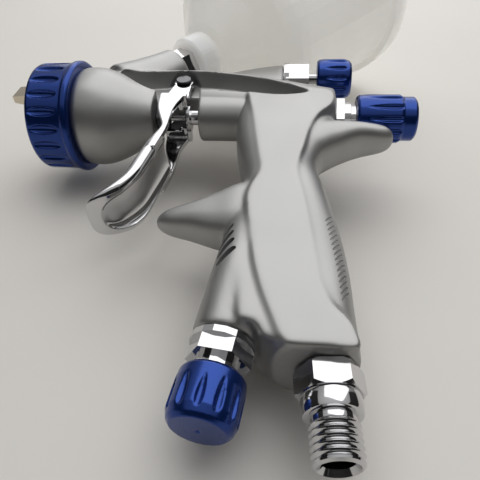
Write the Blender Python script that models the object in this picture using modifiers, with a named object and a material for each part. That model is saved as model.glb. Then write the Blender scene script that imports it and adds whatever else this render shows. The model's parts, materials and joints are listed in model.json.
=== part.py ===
"""Gravity-fed HVLP spray gun with its paint cup, lying on its right side.

Everything is built in the gun's own frame: X runs along the barrel to the
nozzle, Y to the gun's left and Z towards the cup, with the needle on X.
One root empty then lays the gun down and stands it on the floor, z = 0.
"""
import math

import bmesh
import bpy
from mathutils import Matrix, Vector

MM = 0.001
FIT = 0.3 * MM            # gap between pieces that touch
RUN = 0.1 * MM            # radial clearance of a sliding or turning rod
MERGE = 0.00001
BEYOND = 2 * MM           # how far a cutter runs past the face it opens
ROUND = 28                # segments round a large turned piece
FINE = 18                 # segments round a small turned piece
HIDDEN = 14               # segments round a piece that works inside

# Head and air cap, x along the barrel from the ring's rear rim
CAP_R = 18.8 * MM
CAP_ROOM = 0.8 * MM         # from the cap's edge out to the neck's side
NECK_R = CAP_R + CAP_ROOM
RING_WALL = 4.0 * MM
RING_FLARE = 1.1 * MM
RING_FRONT_R = NECK_R + RING_WALL
RING_REAR_R = RING_FRONT_R + RING_FLARE
RING_LENGTH = 19.6 * MM
RING_LIP = 2.0 * MM
RING_BEAD = 3.0 * MM
RING_FLUTES = 20
RING_FLUTE_DEPTH = 1.3 * MM
RING_FLUTE_WIDTH = 4.4 * MM
NECK_LENGTH = 10.0 * MM
BELL_STEP = 2.2 * MM        # shoulder that the ring stands against
BELL_R = NECK_R + BELL_STEP
BELL_REAR_R = 11.8 * MM
BELL_LENGTH = 33.0 * MM
CAP_DEPTH = 5.0 * MM
CAP_FACE_R = 14.5 * MM
CAP_HOLE_R = 2.6 * MM
CAP_WALL = 2.0 * MM
HORN_REACH = 8.0 * MM
HORN_ROOT = 7.5 * MM
HORN_TIP = 3.0 * MM
HORN_WIDTH = 9.0 * MM
NOZZLE_TIP_R = 1.9 * MM
NOZZLE_BODY_R = 7.0 * MM
NOZZLE_HEX_R = 8.6 * MM
NOZZLE_SPIGOT_R = 6.0 * MM
NOZZLE_SPIGOT = 7.0 * MM
NOZZLE_BORE_R = 2.6 * MM
ORIFICE_R = 0.85 * MM
SOCKET_R = 15.5 * MM
SOCKET_DEPTH = 7.0 * MM
DISTRIBUTOR_WIDTH = 3.6 * MM
GASKET_WIDTH = 1.2 * MM
CHAMBER_R = 4.6 * MM
PACKING_LENGTH = 6.0 * MM
PACKING_NUT_ACROSS = 10.4 * MM
PACKING_NUT_LENGTH = 4.6 * MM

# Needle, air valve and fluid control, all on the barrel axis
NEEDLE_R = 1.5 * MM
NEEDLE_POINT = 9.0 * MM
NEEDLE_STOP_R = 3.1 * MM
NEEDLE_STOP_X = -103.0 * MM
NEEDLE_STOP_LENGTH = 3.0 * MM
NEEDLE_TAIL = 8.0 * MM
SPINDLE_R = 3.4 * MM
SPINDLE_HEAD_R = 5.7 * MM
SPINDLE_HEAD = 1.8 * MM
VALVE_DISC_R = 5.0 * MM
VALVE_DISC_X = -69.0 * MM
VALVE_DISC = 3.0 * MM
VALVE_TAIL_R = 2.5 * MM
VALVE_SEAT = 2.4 * MM
VALVE_SPRING_R = 4.4 * MM
VALVE_BORE_R = 6.0 * MM
BARREL_R = 10.4 * MM
BARREL_FRONT_X = -53.0 * MM
GLAND_LENGTH = 6.0 * MM
REAR_FACE_X = -112.5 * MM
BUSHING_NOSE_X = -98.0 * MM
BUSHING_BORE_R = 3.4 * MM
BUSHING_TAIL_R = 4.6 * MM
BUSHING_TAIL = 10.0 * MM
BUSHING_HEX_ACROSS = 17.0 * MM
BUSHING_HEX = 3.4 * MM
LOCK_NUT_R = 7.0 * MM
LOCK_NUT = 2.6 * MM
THRUST_RING_R = 5.9 * MM
THRUST_RING = 2.0 * MM
WIRE_R = 0.45 * MM

# Blue knobs
FLUID_KNOB_R = 10.4 * MM
FLUID_KNOB_LENGTH = 25.2 * MM
FLUID_KNOB_BAND = 5.6 * MM
FLUID_KNOB_BORE_R = 5.0 * MM
FAN_KNOB_R = 9.4 * MM
FAN_KNOB_LENGTH = 16.5 * MM
REGULATOR_KNOB_R = 9.6 * MM
REGULATOR_KNOB_LENGTH = 15.2 * MM
KNOB_FLUTES = 12
KNOB_EDGE = 1.1 * MM

# Fan valve, parallel to the barrel and above it
FAN_Z = 36.6 * MM
FAN_BOSS_R = 7.6 * MM
FAN_FACE_X = -89.0 * MM
FAN_BORE_R = 4.0 * MM
FAN_BORE = 22.0 * MM
FAN_FLANGE = 2.4 * MM
FAN_NUT_ACROSS = 13.6 * MM
FAN_NUT = 9.6 * MM
FAN_STEM_R = 2.5 * MM
FAN_KNOB_X = -105.2 * MM

# Body casting
BRIDGE_TOP = 30.0 * MM
BRIDGE_HALF = 14.0 * MM
BRIDGE_UNDER = 9.5 * MM
RECESS_FLOOR = 8.8 * MM
POCKET_FLOOR = 5.8 * MM
FLAT_HALF = 12.4 * MM
HANDLE_FOOT_Z = -125.5 * MM
COLUMN_R = 9.4 * MM
COLUMN_TOP = 58.0 * MM
WEB_HALF = 8.3 * MM
HORN_TAIL_X = -136.0 * MM
HORN_TOP_Z = -11.8 * MM
HOOK_TIP_X = -47.7 * MM
HOOK_Z = -70.0 * MM
SLOT_COUNT = 4
SLOT_PITCH = 3.9 * MM
SLOT_WIDTH = 1.7 * MM
SLOT_LENGTH = 6.6 * MM
SLOT_DEPTH = 1.3 * MM
SLOT_HALF = 8.4 * MM        # half width of the casting at the first slot
SLOT_SPREAD = 0.25 * MM    # how much wider it is at each next one
PANEL_STEP = 0.4 * MM      # how far the flat side panels stand out

# Air regulator, in the front column of the handle
REGULATOR_LEAN = 7.1      # degrees that the upper end leans back
REGULATOR_FOOT = Vector((-74.3, 0.0, -144.0)) * MM
REGULATOR_FACE = 25.7 * MM    # height of the column's end above the knob's end
REGULATOR_BORE_R = 4.5 * MM
REGULATOR_BORE = 24.0 * MM
REGULATOR_FLANGE_R = 9.4 * MM
REGULATOR_FLANGE = 2.0 * MM
REGULATOR_NUT_ACROSS = 16.0 * MM
REGULATOR_NUT = 4.6 * MM
REGULATOR_STEM_R = 3.0 * MM
REGULATOR_NECK_R = 6.2 * MM

# Air inlet at the foot of the rear leg
INLET_LEAN = -4.3
INLET_END = Vector((-108.1, 0.0, -150.3)) * MM
INLET_THREAD_R = 6.58 * MM
INLET_THREAD = 10.5 * MM
INLET_NECK_R = 5.9 * MM
INLET_NECK = 1.6 * MM
INLET_COLLAR_R = 7.9 * MM
INLET_COLLAR = 6.0 * MM
INLET_ACROSS = 16.2 * MM
INLET_SPIGOT_R = 6.2 * MM
INLET_SPIGOT = 9.0 * MM
INLET_BORE_R = 4.2 * MM
INLET_MOUTH_R = 5.2 * MM
AIRWAY_R = 3.6 * MM
AIRWAY = 122 * MM

# Trigger
PIVOT = Vector((-43.0, 0.0, 17.0)) * MM
PIN_R = 2.2 * MM
PIN_HEAD_R = 3.6 * MM
PIN_HEAD = 1.2 * MM
ARM_INNER = 9.3 * MM
ARM_THICK = 2.6 * MM
EAR_INNER = 6.1 * MM
EAR_R = 4.6 * MM
ARM_TOP = 1.2 * MM        # height where the arms step in to the ears
PUSHER_R = 2.0 * MM
PUSHER_X = -44.3 * MM
PUSHER_REACH = 4.6 * MM
BLADE_HALF = 11.7 * MM
BLADE_DEPTH = 7.2 * MM

# Cup, on an axis that leans back over the handle
CUP_LEAN = 38.0
CUP_SEAT = Vector((-33.0, 0.0, 46.0)) * MM
BOSS_R = 11.4 * MM
BOSS_ROOT_R = 15.5 * MM
BOSS_ROOT = 34.0 * MM
BOSS_BORE_R = 6.6 * MM
BOSS_BORE = 12.0 * MM
FEED_R = 3.8 * MM
ADAPTER_HEX_R = 9.6 * MM
ADAPTER_HEX = 7.4 * MM
ADAPTER_TOP_R = 7.6 * MM
ADAPTER_TOP = 12.0 * MM
ADAPTER_BORE_R = 5.0 * MM
CUP_R = 47.0 * MM
CUP_WALL = 1.9 * MM
CUP_NECK_R = 13.6 * MM
CUP_NECK = 12.0 * MM
CUP_CONE = 33.0 * MM
CUP_WALL_HEIGHT = 88.0 * MM
LID_SKIRT_WALL = 3.7 * MM
LID_R = CUP_R + FIT + LID_SKIRT_WALL
LID_SKIRT = 13.0 * MM
LID_WALL = 2.0 * MM
LID_DOME = 5.0 * MM
LID_LAND_R = 9.0 * MM
VENT_R = 2.6 * MM
VENT_HEAD_R = 5.0 * MM
VENT_HEAD = 3.0 * MM
VENT_BORE_R = 0.8 * MM
FILTER_R = 4.4 * MM
FILTER_WALL = 0.8 * MM
FILTER_LENGTH = 30.0 * MM

COLOURS = {
    "satin": ((0.56, 0.57, 0.59), 0.38, 0.85),
    "chrome": ((0.82, 0.83, 0.84), 0.08, 1.0),
    "steel": ((0.62, 0.62, 0.62), 0.25, 1.0),
    "brass": ((0.72, 0.55, 0.30), 0.22, 1.0),
    "champagne": ((0.70, 0.64, 0.54), 0.28, 1.0),
    "blue": ((0.012, 0.035, 0.25), 0.30, 0.55),
    "nylon": ((0.85, 0.86, 0.84), 0.45, 0.0),
    "ptfe": ((0.90, 0.90, 0.88), 0.50, 0.0),
    "rubber": ((0.03, 0.03, 0.03), 0.70, 0.0),
    "mesh": ((0.75, 0.76, 0.74), 0.60, 0.0),
}


# Scene and object helpers

def clear_scene():
    for item in list(bpy.data.objects):
        bpy.data.objects.remove(item, do_unlink=True)


def new_collection(name):
    collection = bpy.data.collections.new(name)
    bpy.context.scene.collection.children.link(collection)
    return collection


def paint(item, kind):
    colour, roughness, metallic = COLOURS[kind]
    material = bpy.data.materials.new(item.name)
    material.use_nodes = True
    shader = material.node_tree.nodes["Principled BSDF"]
    shader.inputs["Base Color"].default_value = (*colour, 1.0)
    shader.inputs["Roughness"].default_value = roughness
    shader.inputs["Metallic"].default_value = metallic
    item.data.materials.append(material)


def add_part(name, mesh, kind, parent, place):
    item = bpy.data.objects.new(name, mesh)
    PARTS.objects.link(item)
    item.parent = parent
    item.matrix_local = place
    paint(item, kind)
    return item


def add_tool(name, mesh, place):
    """A shape that only cuts or joins another one."""
    item = bpy.data.objects.new(name, mesh)
    TOOLS.objects.link(item)
    item.parent = ROOT
    item.matrix_local = place
    item.hide_render = True
    item.display_type = "WIRE"
    return item


def boolean(item, tool, operation="DIFFERENCE"):
    modifier = item.modifiers.new(tool.name, "BOOLEAN")
    modifier.operation = operation
    modifier.solver = "EXACT"
    modifier.object = tool


def axial(x, z=0.0):
    """Local Z along the barrel, local X to the left and local Y up."""
    turn = Matrix(((0, 0, 1, 0), (1, 0, 0, 0), (0, 1, 0, 0), (0, 0, 0, 1)))
    return Matrix.Translation((x, 0.0, z)) @ turn


def leaning(point, degrees):
    """Local Z up, leaned back about the gun's Y axis."""
    return Matrix.Translation(point) @ Matrix.Rotation(math.radians(-degrees), 4, "Y")


def crosswise(x, z):
    """Local Z to the gun's left, local X forward and local Y down."""
    return Matrix.Translation((x, 0.0, z)) @ Matrix.Rotation(math.radians(-90), 4, "X")


# Mesh helpers

def wire_mesh(name, points, closed):
    mesh = bpy.data.meshes.new(name)
    edges = [(i, i + 1) for i in range(len(points) - 1)]
    if closed:
        edges.append((len(points) - 1, 0))
    mesh.from_pydata([(r, 0.0, h) for r, h in points], edges, [])
    return mesh


def screw(item, steps):
    modifier = item.modifiers.new("Revolve", "SCREW")
    modifier.axis = "Z"
    modifier.angle = math.tau
    modifier.steps = steps
    modifier.render_steps = steps
    modifier.use_merge_vertices = True
    modifier.merge_threshold = MERGE


def turned(name, points, kind, parent, place, steps=FINE):
    """Revolve (radius, height) points, given down the outside from the top."""
    closed = points[0][0] > 0
    item = add_part(name, wire_mesh(name, points, closed), kind, parent, place)
    screw(item, steps)
    return item


def turned_tool(name, points, place, steps=FINE):
    item = add_tool(name, wire_mesh(name, points, points[0][0] > 0), place)
    screw(item, steps)
    return item


def bore_tool(name, radius, low, high, place, steps=FINE):
    return turned_tool(name, [(0, high), (radius, high), (radius, low), (0, low)], place, steps)


def tube_points(outer, inner, low, high):
    return [(outer, high), (outer, low), (inner, low), (inner, high)]


def hex_points(across):
    """Corners of a hexagon, the first one on local X."""
    radius = across / math.sqrt(3)
    return [(radius * math.cos(math.radians(60 * i)),
             radius * math.sin(math.radians(60 * i))) for i in range(6)]


def prism_mesh(name, outline, low, high):
    """Extrude an outline, counter-clockwise in XY, along local Z."""
    count = len(outline)
    points = [(x, y, z) for z in (low, high) for x, y in outline]
    faces = [tuple(reversed(range(count))), tuple(range(count, 2 * count))]
    faces += [(i, (i + 1) % count, count + (i + 1) % count, count + i) for i in range(count)]
    mesh = bpy.data.meshes.new(name)
    mesh.from_pydata(points, [], faces)
    return mesh


def side_mesh(name, outline, low, high):
    """Extrude an outline, counter-clockwise with X right and Z up, from y low to high."""
    return prism_mesh(name, [(x, -z) for x, z in reversed(outline)], low, high)


def smooth_rows(rows, between):
    """Pass a smooth curve through every column of the rows."""
    result = []
    for i in range(len(rows) - 1):
        before = rows[max(i - 1, 0)]
        after = rows[min(i + 2, len(rows) - 1)]
        for step in range(between):
            t = step / between
            row = []
            for a, b, c, d in zip(before, rows[i], rows[i + 1], after):
                row.append(0.5 * (2 * b + (c - a) * t + (2 * a - 5 * b + 4 * c - d) * t ** 2
                                  + (3 * b - a - 3 * c + d) * t ** 3))
            result.append(row)
    result.append(list(rows[-1]))
    return result


def rounded_section(centre_x, centre_y, half_x, half_y, power, sides):
    """Points of a rounded rectangle; power 2 is an ellipse, more is squarer."""
    ring = []
    for i in range(sides):
        angle = math.tau * (i + 0.5) / sides
        c = math.cos(angle)
        s = math.sin(angle)
        ring.append((centre_x + half_x * math.copysign(abs(c) ** (2 / power), c),
                     centre_y + half_y * math.copysign(abs(s) ** (2 / power), s)))
    return ring


def skin_mesh(name, rings):
    """Skin closed rings of points, given from the lowest to the highest."""
    sides = len(rings[0])
    points = [point for ring in rings for point in ring]
    faces = [tuple(reversed(range(sides)))]
    for j in range(len(rings) - 1):
        for i in range(sides):
            low = j * sides
            faces.append((low + i, low + (i + 1) % sides,
                          low + sides + (i + 1) % sides, low + sides + i))
    last = (len(rings) - 1) * sides
    faces.append(tuple(range(last, last + sides)))
    mesh = bpy.data.meshes.new(name)
    mesh.from_pydata(points, [], faces)
    return mesh


def loft_mesh(name, rows, sides, between):
    """Rows: height, centre x, centre y, half x, half y and squareness."""
    rings = []
    for height, cx, cy, hx, hy, power in smooth_rows(rows, between):
        rings.append([(x, y, height) for x, y in rounded_section(cx, cy, hx, hy, power, sides)])
    return skin_mesh(name, rings)


def in_mm(rows, lengths=5):
    return [tuple(v * MM for v in row[:lengths]) + tuple(row[lengths:]) for row in rows]


def flute_mesh(name, count, radius, low, high, width, depth, wide_end):
    """A ring of teardrop grooves; wide_end is +1 when the top end is the wide one."""
    mesh = bpy.data.meshes.new(name)
    build = bmesh.new()
    middle = (low + high) / 2
    half = (high - low) / 2
    for k in range(count):
        drop = bmesh.ops.create_uvsphere(build, u_segments=8, v_segments=5, radius=1.0)
        turn = Matrix.Rotation(math.tau * k / count, 3, "Z")
        for vert in drop["verts"]:
            x, y, z = vert.co
            taper = 0.62 + 0.38 * z * wide_end
            vert.co = turn @ Vector((radius + depth * x * taper, width / 2 * y * taper,
                                     middle + half * z))
    build.to_mesh(mesh)
    build.free()
    return mesh


def coil(name, radius, start, end, turns, parent):
    """A wound spring on the barrel axis; its length runs along local Z."""
    curve = bpy.data.curves.new(name, "CURVE")
    curve.dimensions = "3D"
    curve.bevel_depth = WIRE_R
    curve.bevel_resolution = 0
    curve.use_fill_caps = True
    curve.resolution_u = 1
    spline = curve.splines.new("POLY")
    per_turn = 10
    count = int(turns * per_turn) + 1
    spline.points.add(count - 1)
    low = start + WIRE_R
    high = end - WIRE_R
    for i in range(count):
        angle = math.tau * i / per_turn
        height = low + (high - low) * i / (count - 1)
        spline.points[i].co = (radius * math.cos(angle), radius * math.sin(angle), height, 1.0)
    shape = bpy.data.objects.new(name + "_curve", curve)
    mesh = bpy.data.meshes.new_from_object(shape)
    bpy.data.objects.remove(shape)
    return add_part(name, mesh, "steel", parent, axial(0.0))


# Body casting

def panel_outline():
    """Edge of the flat side panels in millimetres, counter-clockwise with X right and Z up."""
    foot = HANDLE_FOOT_Z / MM - 3
    front = [
        (-94.6, foot), (-93.4, -123.6), (-90.6, -117.0), (-86.8, -106.5), (-84.0, -95.5),
        (-81.8, -82.0), (-79.4, -74.6), (-76.6, -71.4), (-75.8, -68.8), (-76.8, -65.6),
        (-79.6, -62.0), (-82.4, -57.4), (-83.5, -51.4), (-81.8, -41.5), (-79.8, -28.0),
        (-77.5, -14.4), (-75.2, -4.0), (-74.6, 3.0), (-79.0, 6.0)]
    rear = [
        (-95.0, 6.0), (-106.0, 5.4), (-110.8, 2.4), (-111.4, -2.6), (-109.2, -10.0),
        (-105.0, -17.0), (-101.5, -26.0), (-99.4, -38.0), (-97.2, -48.0), (-97.0, -56.0),
        (-99.2, -68.0), (-101.2, -82.0), (-102.9, -96.0), (-104.2, -105.0), (-107.0, -111.6),
        (-110.8, -115.8), (-113.0, -120.4), (-113.6, foot)]
    return front + rear


def body_additions():
    """Shapes that join the bell to make the casting."""
    lift = BRIDGE_TOP / MM - 30
    widen = BRIDGE_HALF / (14 * MM)
    spine = [
        (REAR_FACE_X / MM, 0, 1.4, 11.2, 12.0, 2.5), (-104, 0, 3.0, 11.8, 12.8, 2.4),
        (-90, 0, 6.0, 12.6, 14.2, 2.3), (-70, 0, 10.0, 13.2, 16.8, 2.2),
        (-50, 0, 12.0, 14.0, 18.0, 2.1), (-30, 0, 12.0, 14.0, 18.0, 2.1),
        (-14, 0, 10.6, 14.6, 18.2, 2.1), (-0.4, 0, 9.0, 14.4, 17.4, 2.1)]
    rows = in_mm([(x, y, z + lift, a * widen, b, p) for x, y, z, a, b, p in spine])
    spine_tool = add_tool("spine", loft_mesh("spine", rows, 24, 2), axial(0.0))

    side = (FLAT_HALF - PANEL_STEP) / MM
    handle = in_mm([
        (HANDLE_FOOT_Z / MM - 4, -102.6, 0, 12.4, side, 2.6), (-118, -102.2, 0, 12.3, side, 2.6),
        (-108, -99.8, 0, 14.2, side, 2.7), (-96, -97.2, 0, 16.3, side, 2.7),
        (-82, -94.5, 0, 17.6, side, 2.7), (-68, -93.2, 0, 16.6, side, 2.7),
        (-54, -92.0, 0, 15.0, side, 2.6), (-42, -89.6, 0, 14.6, side, 2.6),
        (-28, -90.5, 0, 18.2, side, 2.6), (-14, -91.5, 0, 20.8, side, 2.6),
        (4, -92.0, 0, 20.5, side, 2.6)])
    handle_tool = add_tool("handle", loft_mesh("handle", handle, 24, 2), Matrix())
    nose = in_mm([
        (-64, -83.6, 0, 7.4, side, 2.2), (-54, -85.4, 0, 8.6, side, 2.1),
        (-42, -84.0, 0, 9.2, side, 2.1), (-28, -82.0, 0, 9.9, side, 2.1),
        (-14, -80.0, 0, 9.4, side, 2.1), (2, -78.2, 0, 7.2, side, 2.1)])
    nose_tool = add_tool("nose", loft_mesh("nose", nose, 20, 1), Matrix())

    face = leaning(REGULATOR_FOOT, REGULATOR_LEAN)
    column = [(REGULATOR_FACE, 0, 0, COLUMN_R, COLUMN_R + 0.4 * MM, 2.1),
              (REGULATOR_FACE + 12 * MM, 0, 0, COLUMN_R, COLUMN_R + 1.3 * MM, 2.2),
              (REGULATOR_FACE + 30 * MM, 0, 0, COLUMN_R, COLUMN_R + 2.4 * MM, 2.3),
              (REGULATOR_FACE + COLUMN_TOP, 0, 0, COLUMN_R * 0.8, COLUMN_R + 1.0 * MM, 2.2)]
    column_tool = add_tool("column", loft_mesh("column", column, 24, 3), face)

    web = [(-99, -124.0), (-93.4, -124.0), (-89.2, -121.0), (-88.4, -117.0), (-81, -114.6),
           (-81, -96.5), (-99, -96.5)]
    web_tool = add_tool("web", side_mesh("web", [(x * MM, z * MM) for x, z in web],
                                         -WEB_HALF, WEB_HALF), crosswise(0.0, 0.0))

    tail = HORN_TAIL_X / MM
    top = HORN_TOP_Z / MM
    horn = in_mm([
        (tail, 0, top - 4.2, 2.2, 1.6, 2.0), (tail + 1.6, 0, top - 4.2, 4.6, 2.9, 2.1),
        (tail + 5, 0, top - 4.3, 6.4, 4.0, 2.2), (tail + 14, 0, top - 5.0, 8.2, 5.0, 2.4),
        (tail + 23, 0, top - 7.6, 9.2, 7.6, 2.4), (tail + 32, 0, top - 11.5, 10.4, 11.0, 2.4)])
    horn_tool = add_tool("horn", loft_mesh("horn", horn, 20, 2), axial(0.0))

    tip = HOOK_TIP_X / MM
    mid = HOOK_Z / MM
    hook = in_mm([
        (tip - 38, 0, mid + 4, 10.5, 13.5, 2.4), (tip - 29, 0, mid + 3.2, 10.2, 11.6, 2.4),
        (tip - 21, 0, mid + 1.6, 8.8, 8.6, 2.3), (tip - 12, 0, mid + 0.6, 7.2, 6.4, 2.2),
        (tip - 5, 0, mid, 5.4, 4.4, 2.1), (tip - 1.5, 0, mid - 0.3, 3.4, 2.8, 2.0),
        (tip, 0, mid - 0.4, 1.6, 1.4, 2.0)])
    hook_tool = add_tool("hook", loft_mesh("hook", hook, 20, 2), axial(0.0))

    boss_z = FAN_Z / MM
    boss_r = FAN_BOSS_R / MM
    fan = in_mm([
        (FAN_FACE_X / MM, 0, boss_z - 7.0, boss_r, boss_r + 7.0, 2.3),
        (-76, 0, boss_z - 7.6, boss_r - 0.9, boss_r + 5.2, 2.3),
        (-62, 0, boss_z - 8.4, boss_r - 2.4, boss_r + 1.8, 2.2),
        (-48, 0, boss_z - 10.6, boss_r - 4.0, boss_r - 2.6, 2.1)])
    fan_tool = add_tool("fan_boss", loft_mesh("fan_boss", fan, 20, 2), axial(0.0))

    cup = turned_tool("cup_boss", [
        (0, 0), (BOSS_R, 0), (BOSS_R + 0.4 * MM, -8 * MM), (BOSS_R + 1.8 * MM, -20 * MM),
        (BOSS_ROOT_R, -BOSS_ROOT), (0, -BOSS_ROOT)], leaning(CUP_SEAT, CUP_LEAN), ROUND)

    panel = side_mesh("panel", [(x * MM, z * MM) for x, z in panel_outline()],
                      -FLAT_HALF, FLAT_HALF)
    panel_tool = add_tool("panel", panel, crosswise(0.0, 0.0))

    barrel = turned_tool("valve_barrel", [
        (0, BARREL_FRONT_X), (BARREL_R - 0.8 * MM, BARREL_FRONT_X),
        (BARREL_R, BARREL_FRONT_X - 0.8 * MM), (BARREL_R, -80 * MM), (0, -80 * MM)],
        axial(0.0), ROUND)
    joined = [spine_tool, handle_tool, nose_tool, web_tool, column_tool, horn_tool, hook_tool,
              fan_tool, cup, panel_tool]
    return joined, barrel


def throat_tool():
    """Opens the space behind the bell that the trigger works in."""
    front = -BELL_LENGTH
    outline = [(BARREL_FRONT_X, -60 * MM), (front, -60 * MM), (front, BRIDGE_UNDER),
               (BARREL_FRONT_X, BRIDGE_UNDER)]
    return add_tool("throat", side_mesh("throat", outline, -40 * MM, 40 * MM), crosswise(0.0, 0.0))


def recess_tools():
    """A long lens-shaped hollow under each upper edge, where the trigger hangs."""
    top = BRIDGE_TOP / MM
    upper = [(-14, top - 14.5), (-20, top - 10.6), (-31, top - 8.0), (-46, top - 7.4),
             (-62, top - 8.8), (-78, top - 13.0), (-92, top - 20.0), (-102, top - 28.0)]
    lower = [(-90, -0.6), (-74, 2.0), (-60, 3.0), (-53, 3.4), (-33, 3.0), (-24, 6.0)]
    outline = [(x * MM, z * MM) for x, z in upper + lower]
    pocket = [(-30.0, top - 10.6), (-37.0, top - 8.3), (-44.0, top - 7.7), (-50.0, top - 8.0),
              (-58.0, top - 9.6), (-60.0, top - 12.0),
              (-60.0, 9.0), (-54.0, 4.0), (-33.0, 4.0), (-28.0, 9.0)]
    flat = crosswise(0.0, 0.0)
    return (both_sides("recess", outline, RECESS_FLOOR, 30 * MM, flat)
            + both_sides("pocket", [(x * MM, z * MM) for x, z in pocket], POCKET_FLOOR, 20 * MM, flat))


def slot_tools():
    """Four short slanted vents on each side, below the finger hook."""
    tools = []
    for side in (1, -1):
        for k in range(SLOT_COUNT):
            centre = Vector((-73.6 * MM - 0.8 * MM * k, side * (SLOT_HALF + SLOT_SPREAD * k),
                             -82.4 * MM - SLOT_PITCH * k))
            name = "slot_%s_%d" % ("left" if side > 0 else "right", k + 1)
            outline = rounded_section(0, 0, SLOT_LENGTH / 2, SLOT_WIDTH / 2, 3.0, 12)
            mesh = prism_mesh(name, outline, -SLOT_DEPTH, SLOT_DEPTH * 2)
            turn = Matrix.Rotation(math.radians(-90 * side), 4, "X")
            slant = Matrix.Rotation(math.radians(-38), 4, "Y")
            wrap = Matrix.Rotation(math.radians(-26 * side), 4, "Z")
            tools.append(add_tool(name, mesh, Matrix.Translation(centre) @ wrap @ slant @ turn))
    return tools


def body_bores():
    """Every bored hole of the casting."""
    cup_axis = leaning(CUP_SEAT, CUP_LEAN)
    inlet = leaning(INLET_END, INLET_LEAN)
    regulator = leaning(REGULATOR_FOOT, REGULATOR_LEAN)
    foot = inlet_foot()
    spigot_top = foot + INLET_SPIGOT + BEYOND
    airway_top = foot + AIRWAY
    front = NECK_LENGTH
    feed_depth = CUP_SEAT.z / math.cos(math.radians(CUP_LEAN))
    return [
        turned_tool("head_bore", [
            (0, front + BEYOND), (SOCKET_R, front + BEYOND), (SOCKET_R, front - SOCKET_DEPTH),
            (NOZZLE_SPIGOT_R + FIT, front - SOCKET_DEPTH),
            (NOZZLE_SPIGOT_R + FIT, front - SOCKET_DEPTH - NOZZLE_SPIGOT),
            (CHAMBER_R, front - SOCKET_DEPTH - NOZZLE_SPIGOT), (CHAMBER_R, -BELL_LENGTH - BEYOND),
            (0, -BELL_LENGTH - BEYOND)], axial(0.0)),
        bore_tool("valve_bore", VALVE_BORE_R, -120 * MM, BARREL_FRONT_X + BEYOND, axial(0.0)),
        bore_tool("fan_bore", FAN_BORE_R, FAN_FACE_X - BEYOND, FAN_FACE_X + FAN_BORE,
                  axial(0.0, FAN_Z)),
        turned_tool("cup_bore", [
            (0, BEYOND), (BOSS_BORE_R, BEYOND), (BOSS_BORE_R, -BOSS_BORE), (FEED_R, -BOSS_BORE),
            (FEED_R, -feed_depth), (0, -feed_depth)], cup_axis),
        bore_tool("foot_face", 32 * MM, foot - 30 * MM, foot, inlet, 4),
        turned_tool("inlet_bore", [
            (0, airway_top), (AIRWAY_R, airway_top), (AIRWAY_R, spigot_top),
            (INLET_SPIGOT_R + FIT, spigot_top), (INLET_SPIGOT_R + FIT, foot - BEYOND),
            (0, foot - BEYOND)], inlet),
        bore_tool("regulator_bore", REGULATOR_BORE_R, REGULATOR_FACE - BEYOND,
                  REGULATOR_FACE + REGULATOR_BORE, regulator),
        bore_tool("pin_bore", PIN_R + RUN, -20 * MM, 20 * MM, crosswise(PIVOT.x, PIVOT.z)),
    ]


def inlet_foot():
    """Height of the leg's end face above the end of the inlet."""
    return (HANDLE_FOOT_Z - INLET_END.z) / math.cos(math.radians(INLET_LEAN))


def make_body():
    front = NECK_LENGTH
    bell = [(0, front), (NECK_R, front), (NECK_R, -FIT), (BELL_R - 0.5 * MM, -FIT),
            (BELL_R, -3 * MM), (BELL_R, -8 * MM), (BELL_R - 1.2 * MM, -13 * MM),
            (BELL_R - 3.3 * MM, -18 * MM), (BELL_R - 6.0 * MM, -23 * MM),
            (BELL_R - 8.4 * MM, -28 * MM), (BELL_REAR_R, -BELL_LENGTH), (0, -BELL_LENGTH)]
    body = turned("gun_body", bell, "satin", ROOT, axial(0.0), 40)
    joined, barrel = body_additions()
    for tool in joined:
        boolean(body, tool, "UNION")
    boolean(body, throat_tool())
    for tool in recess_tools():
        boolean(body, tool)
    boolean(body, barrel, "UNION")
    for tool in slot_tools() + body_bores():
        boolean(body, tool)


# Head parts

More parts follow.
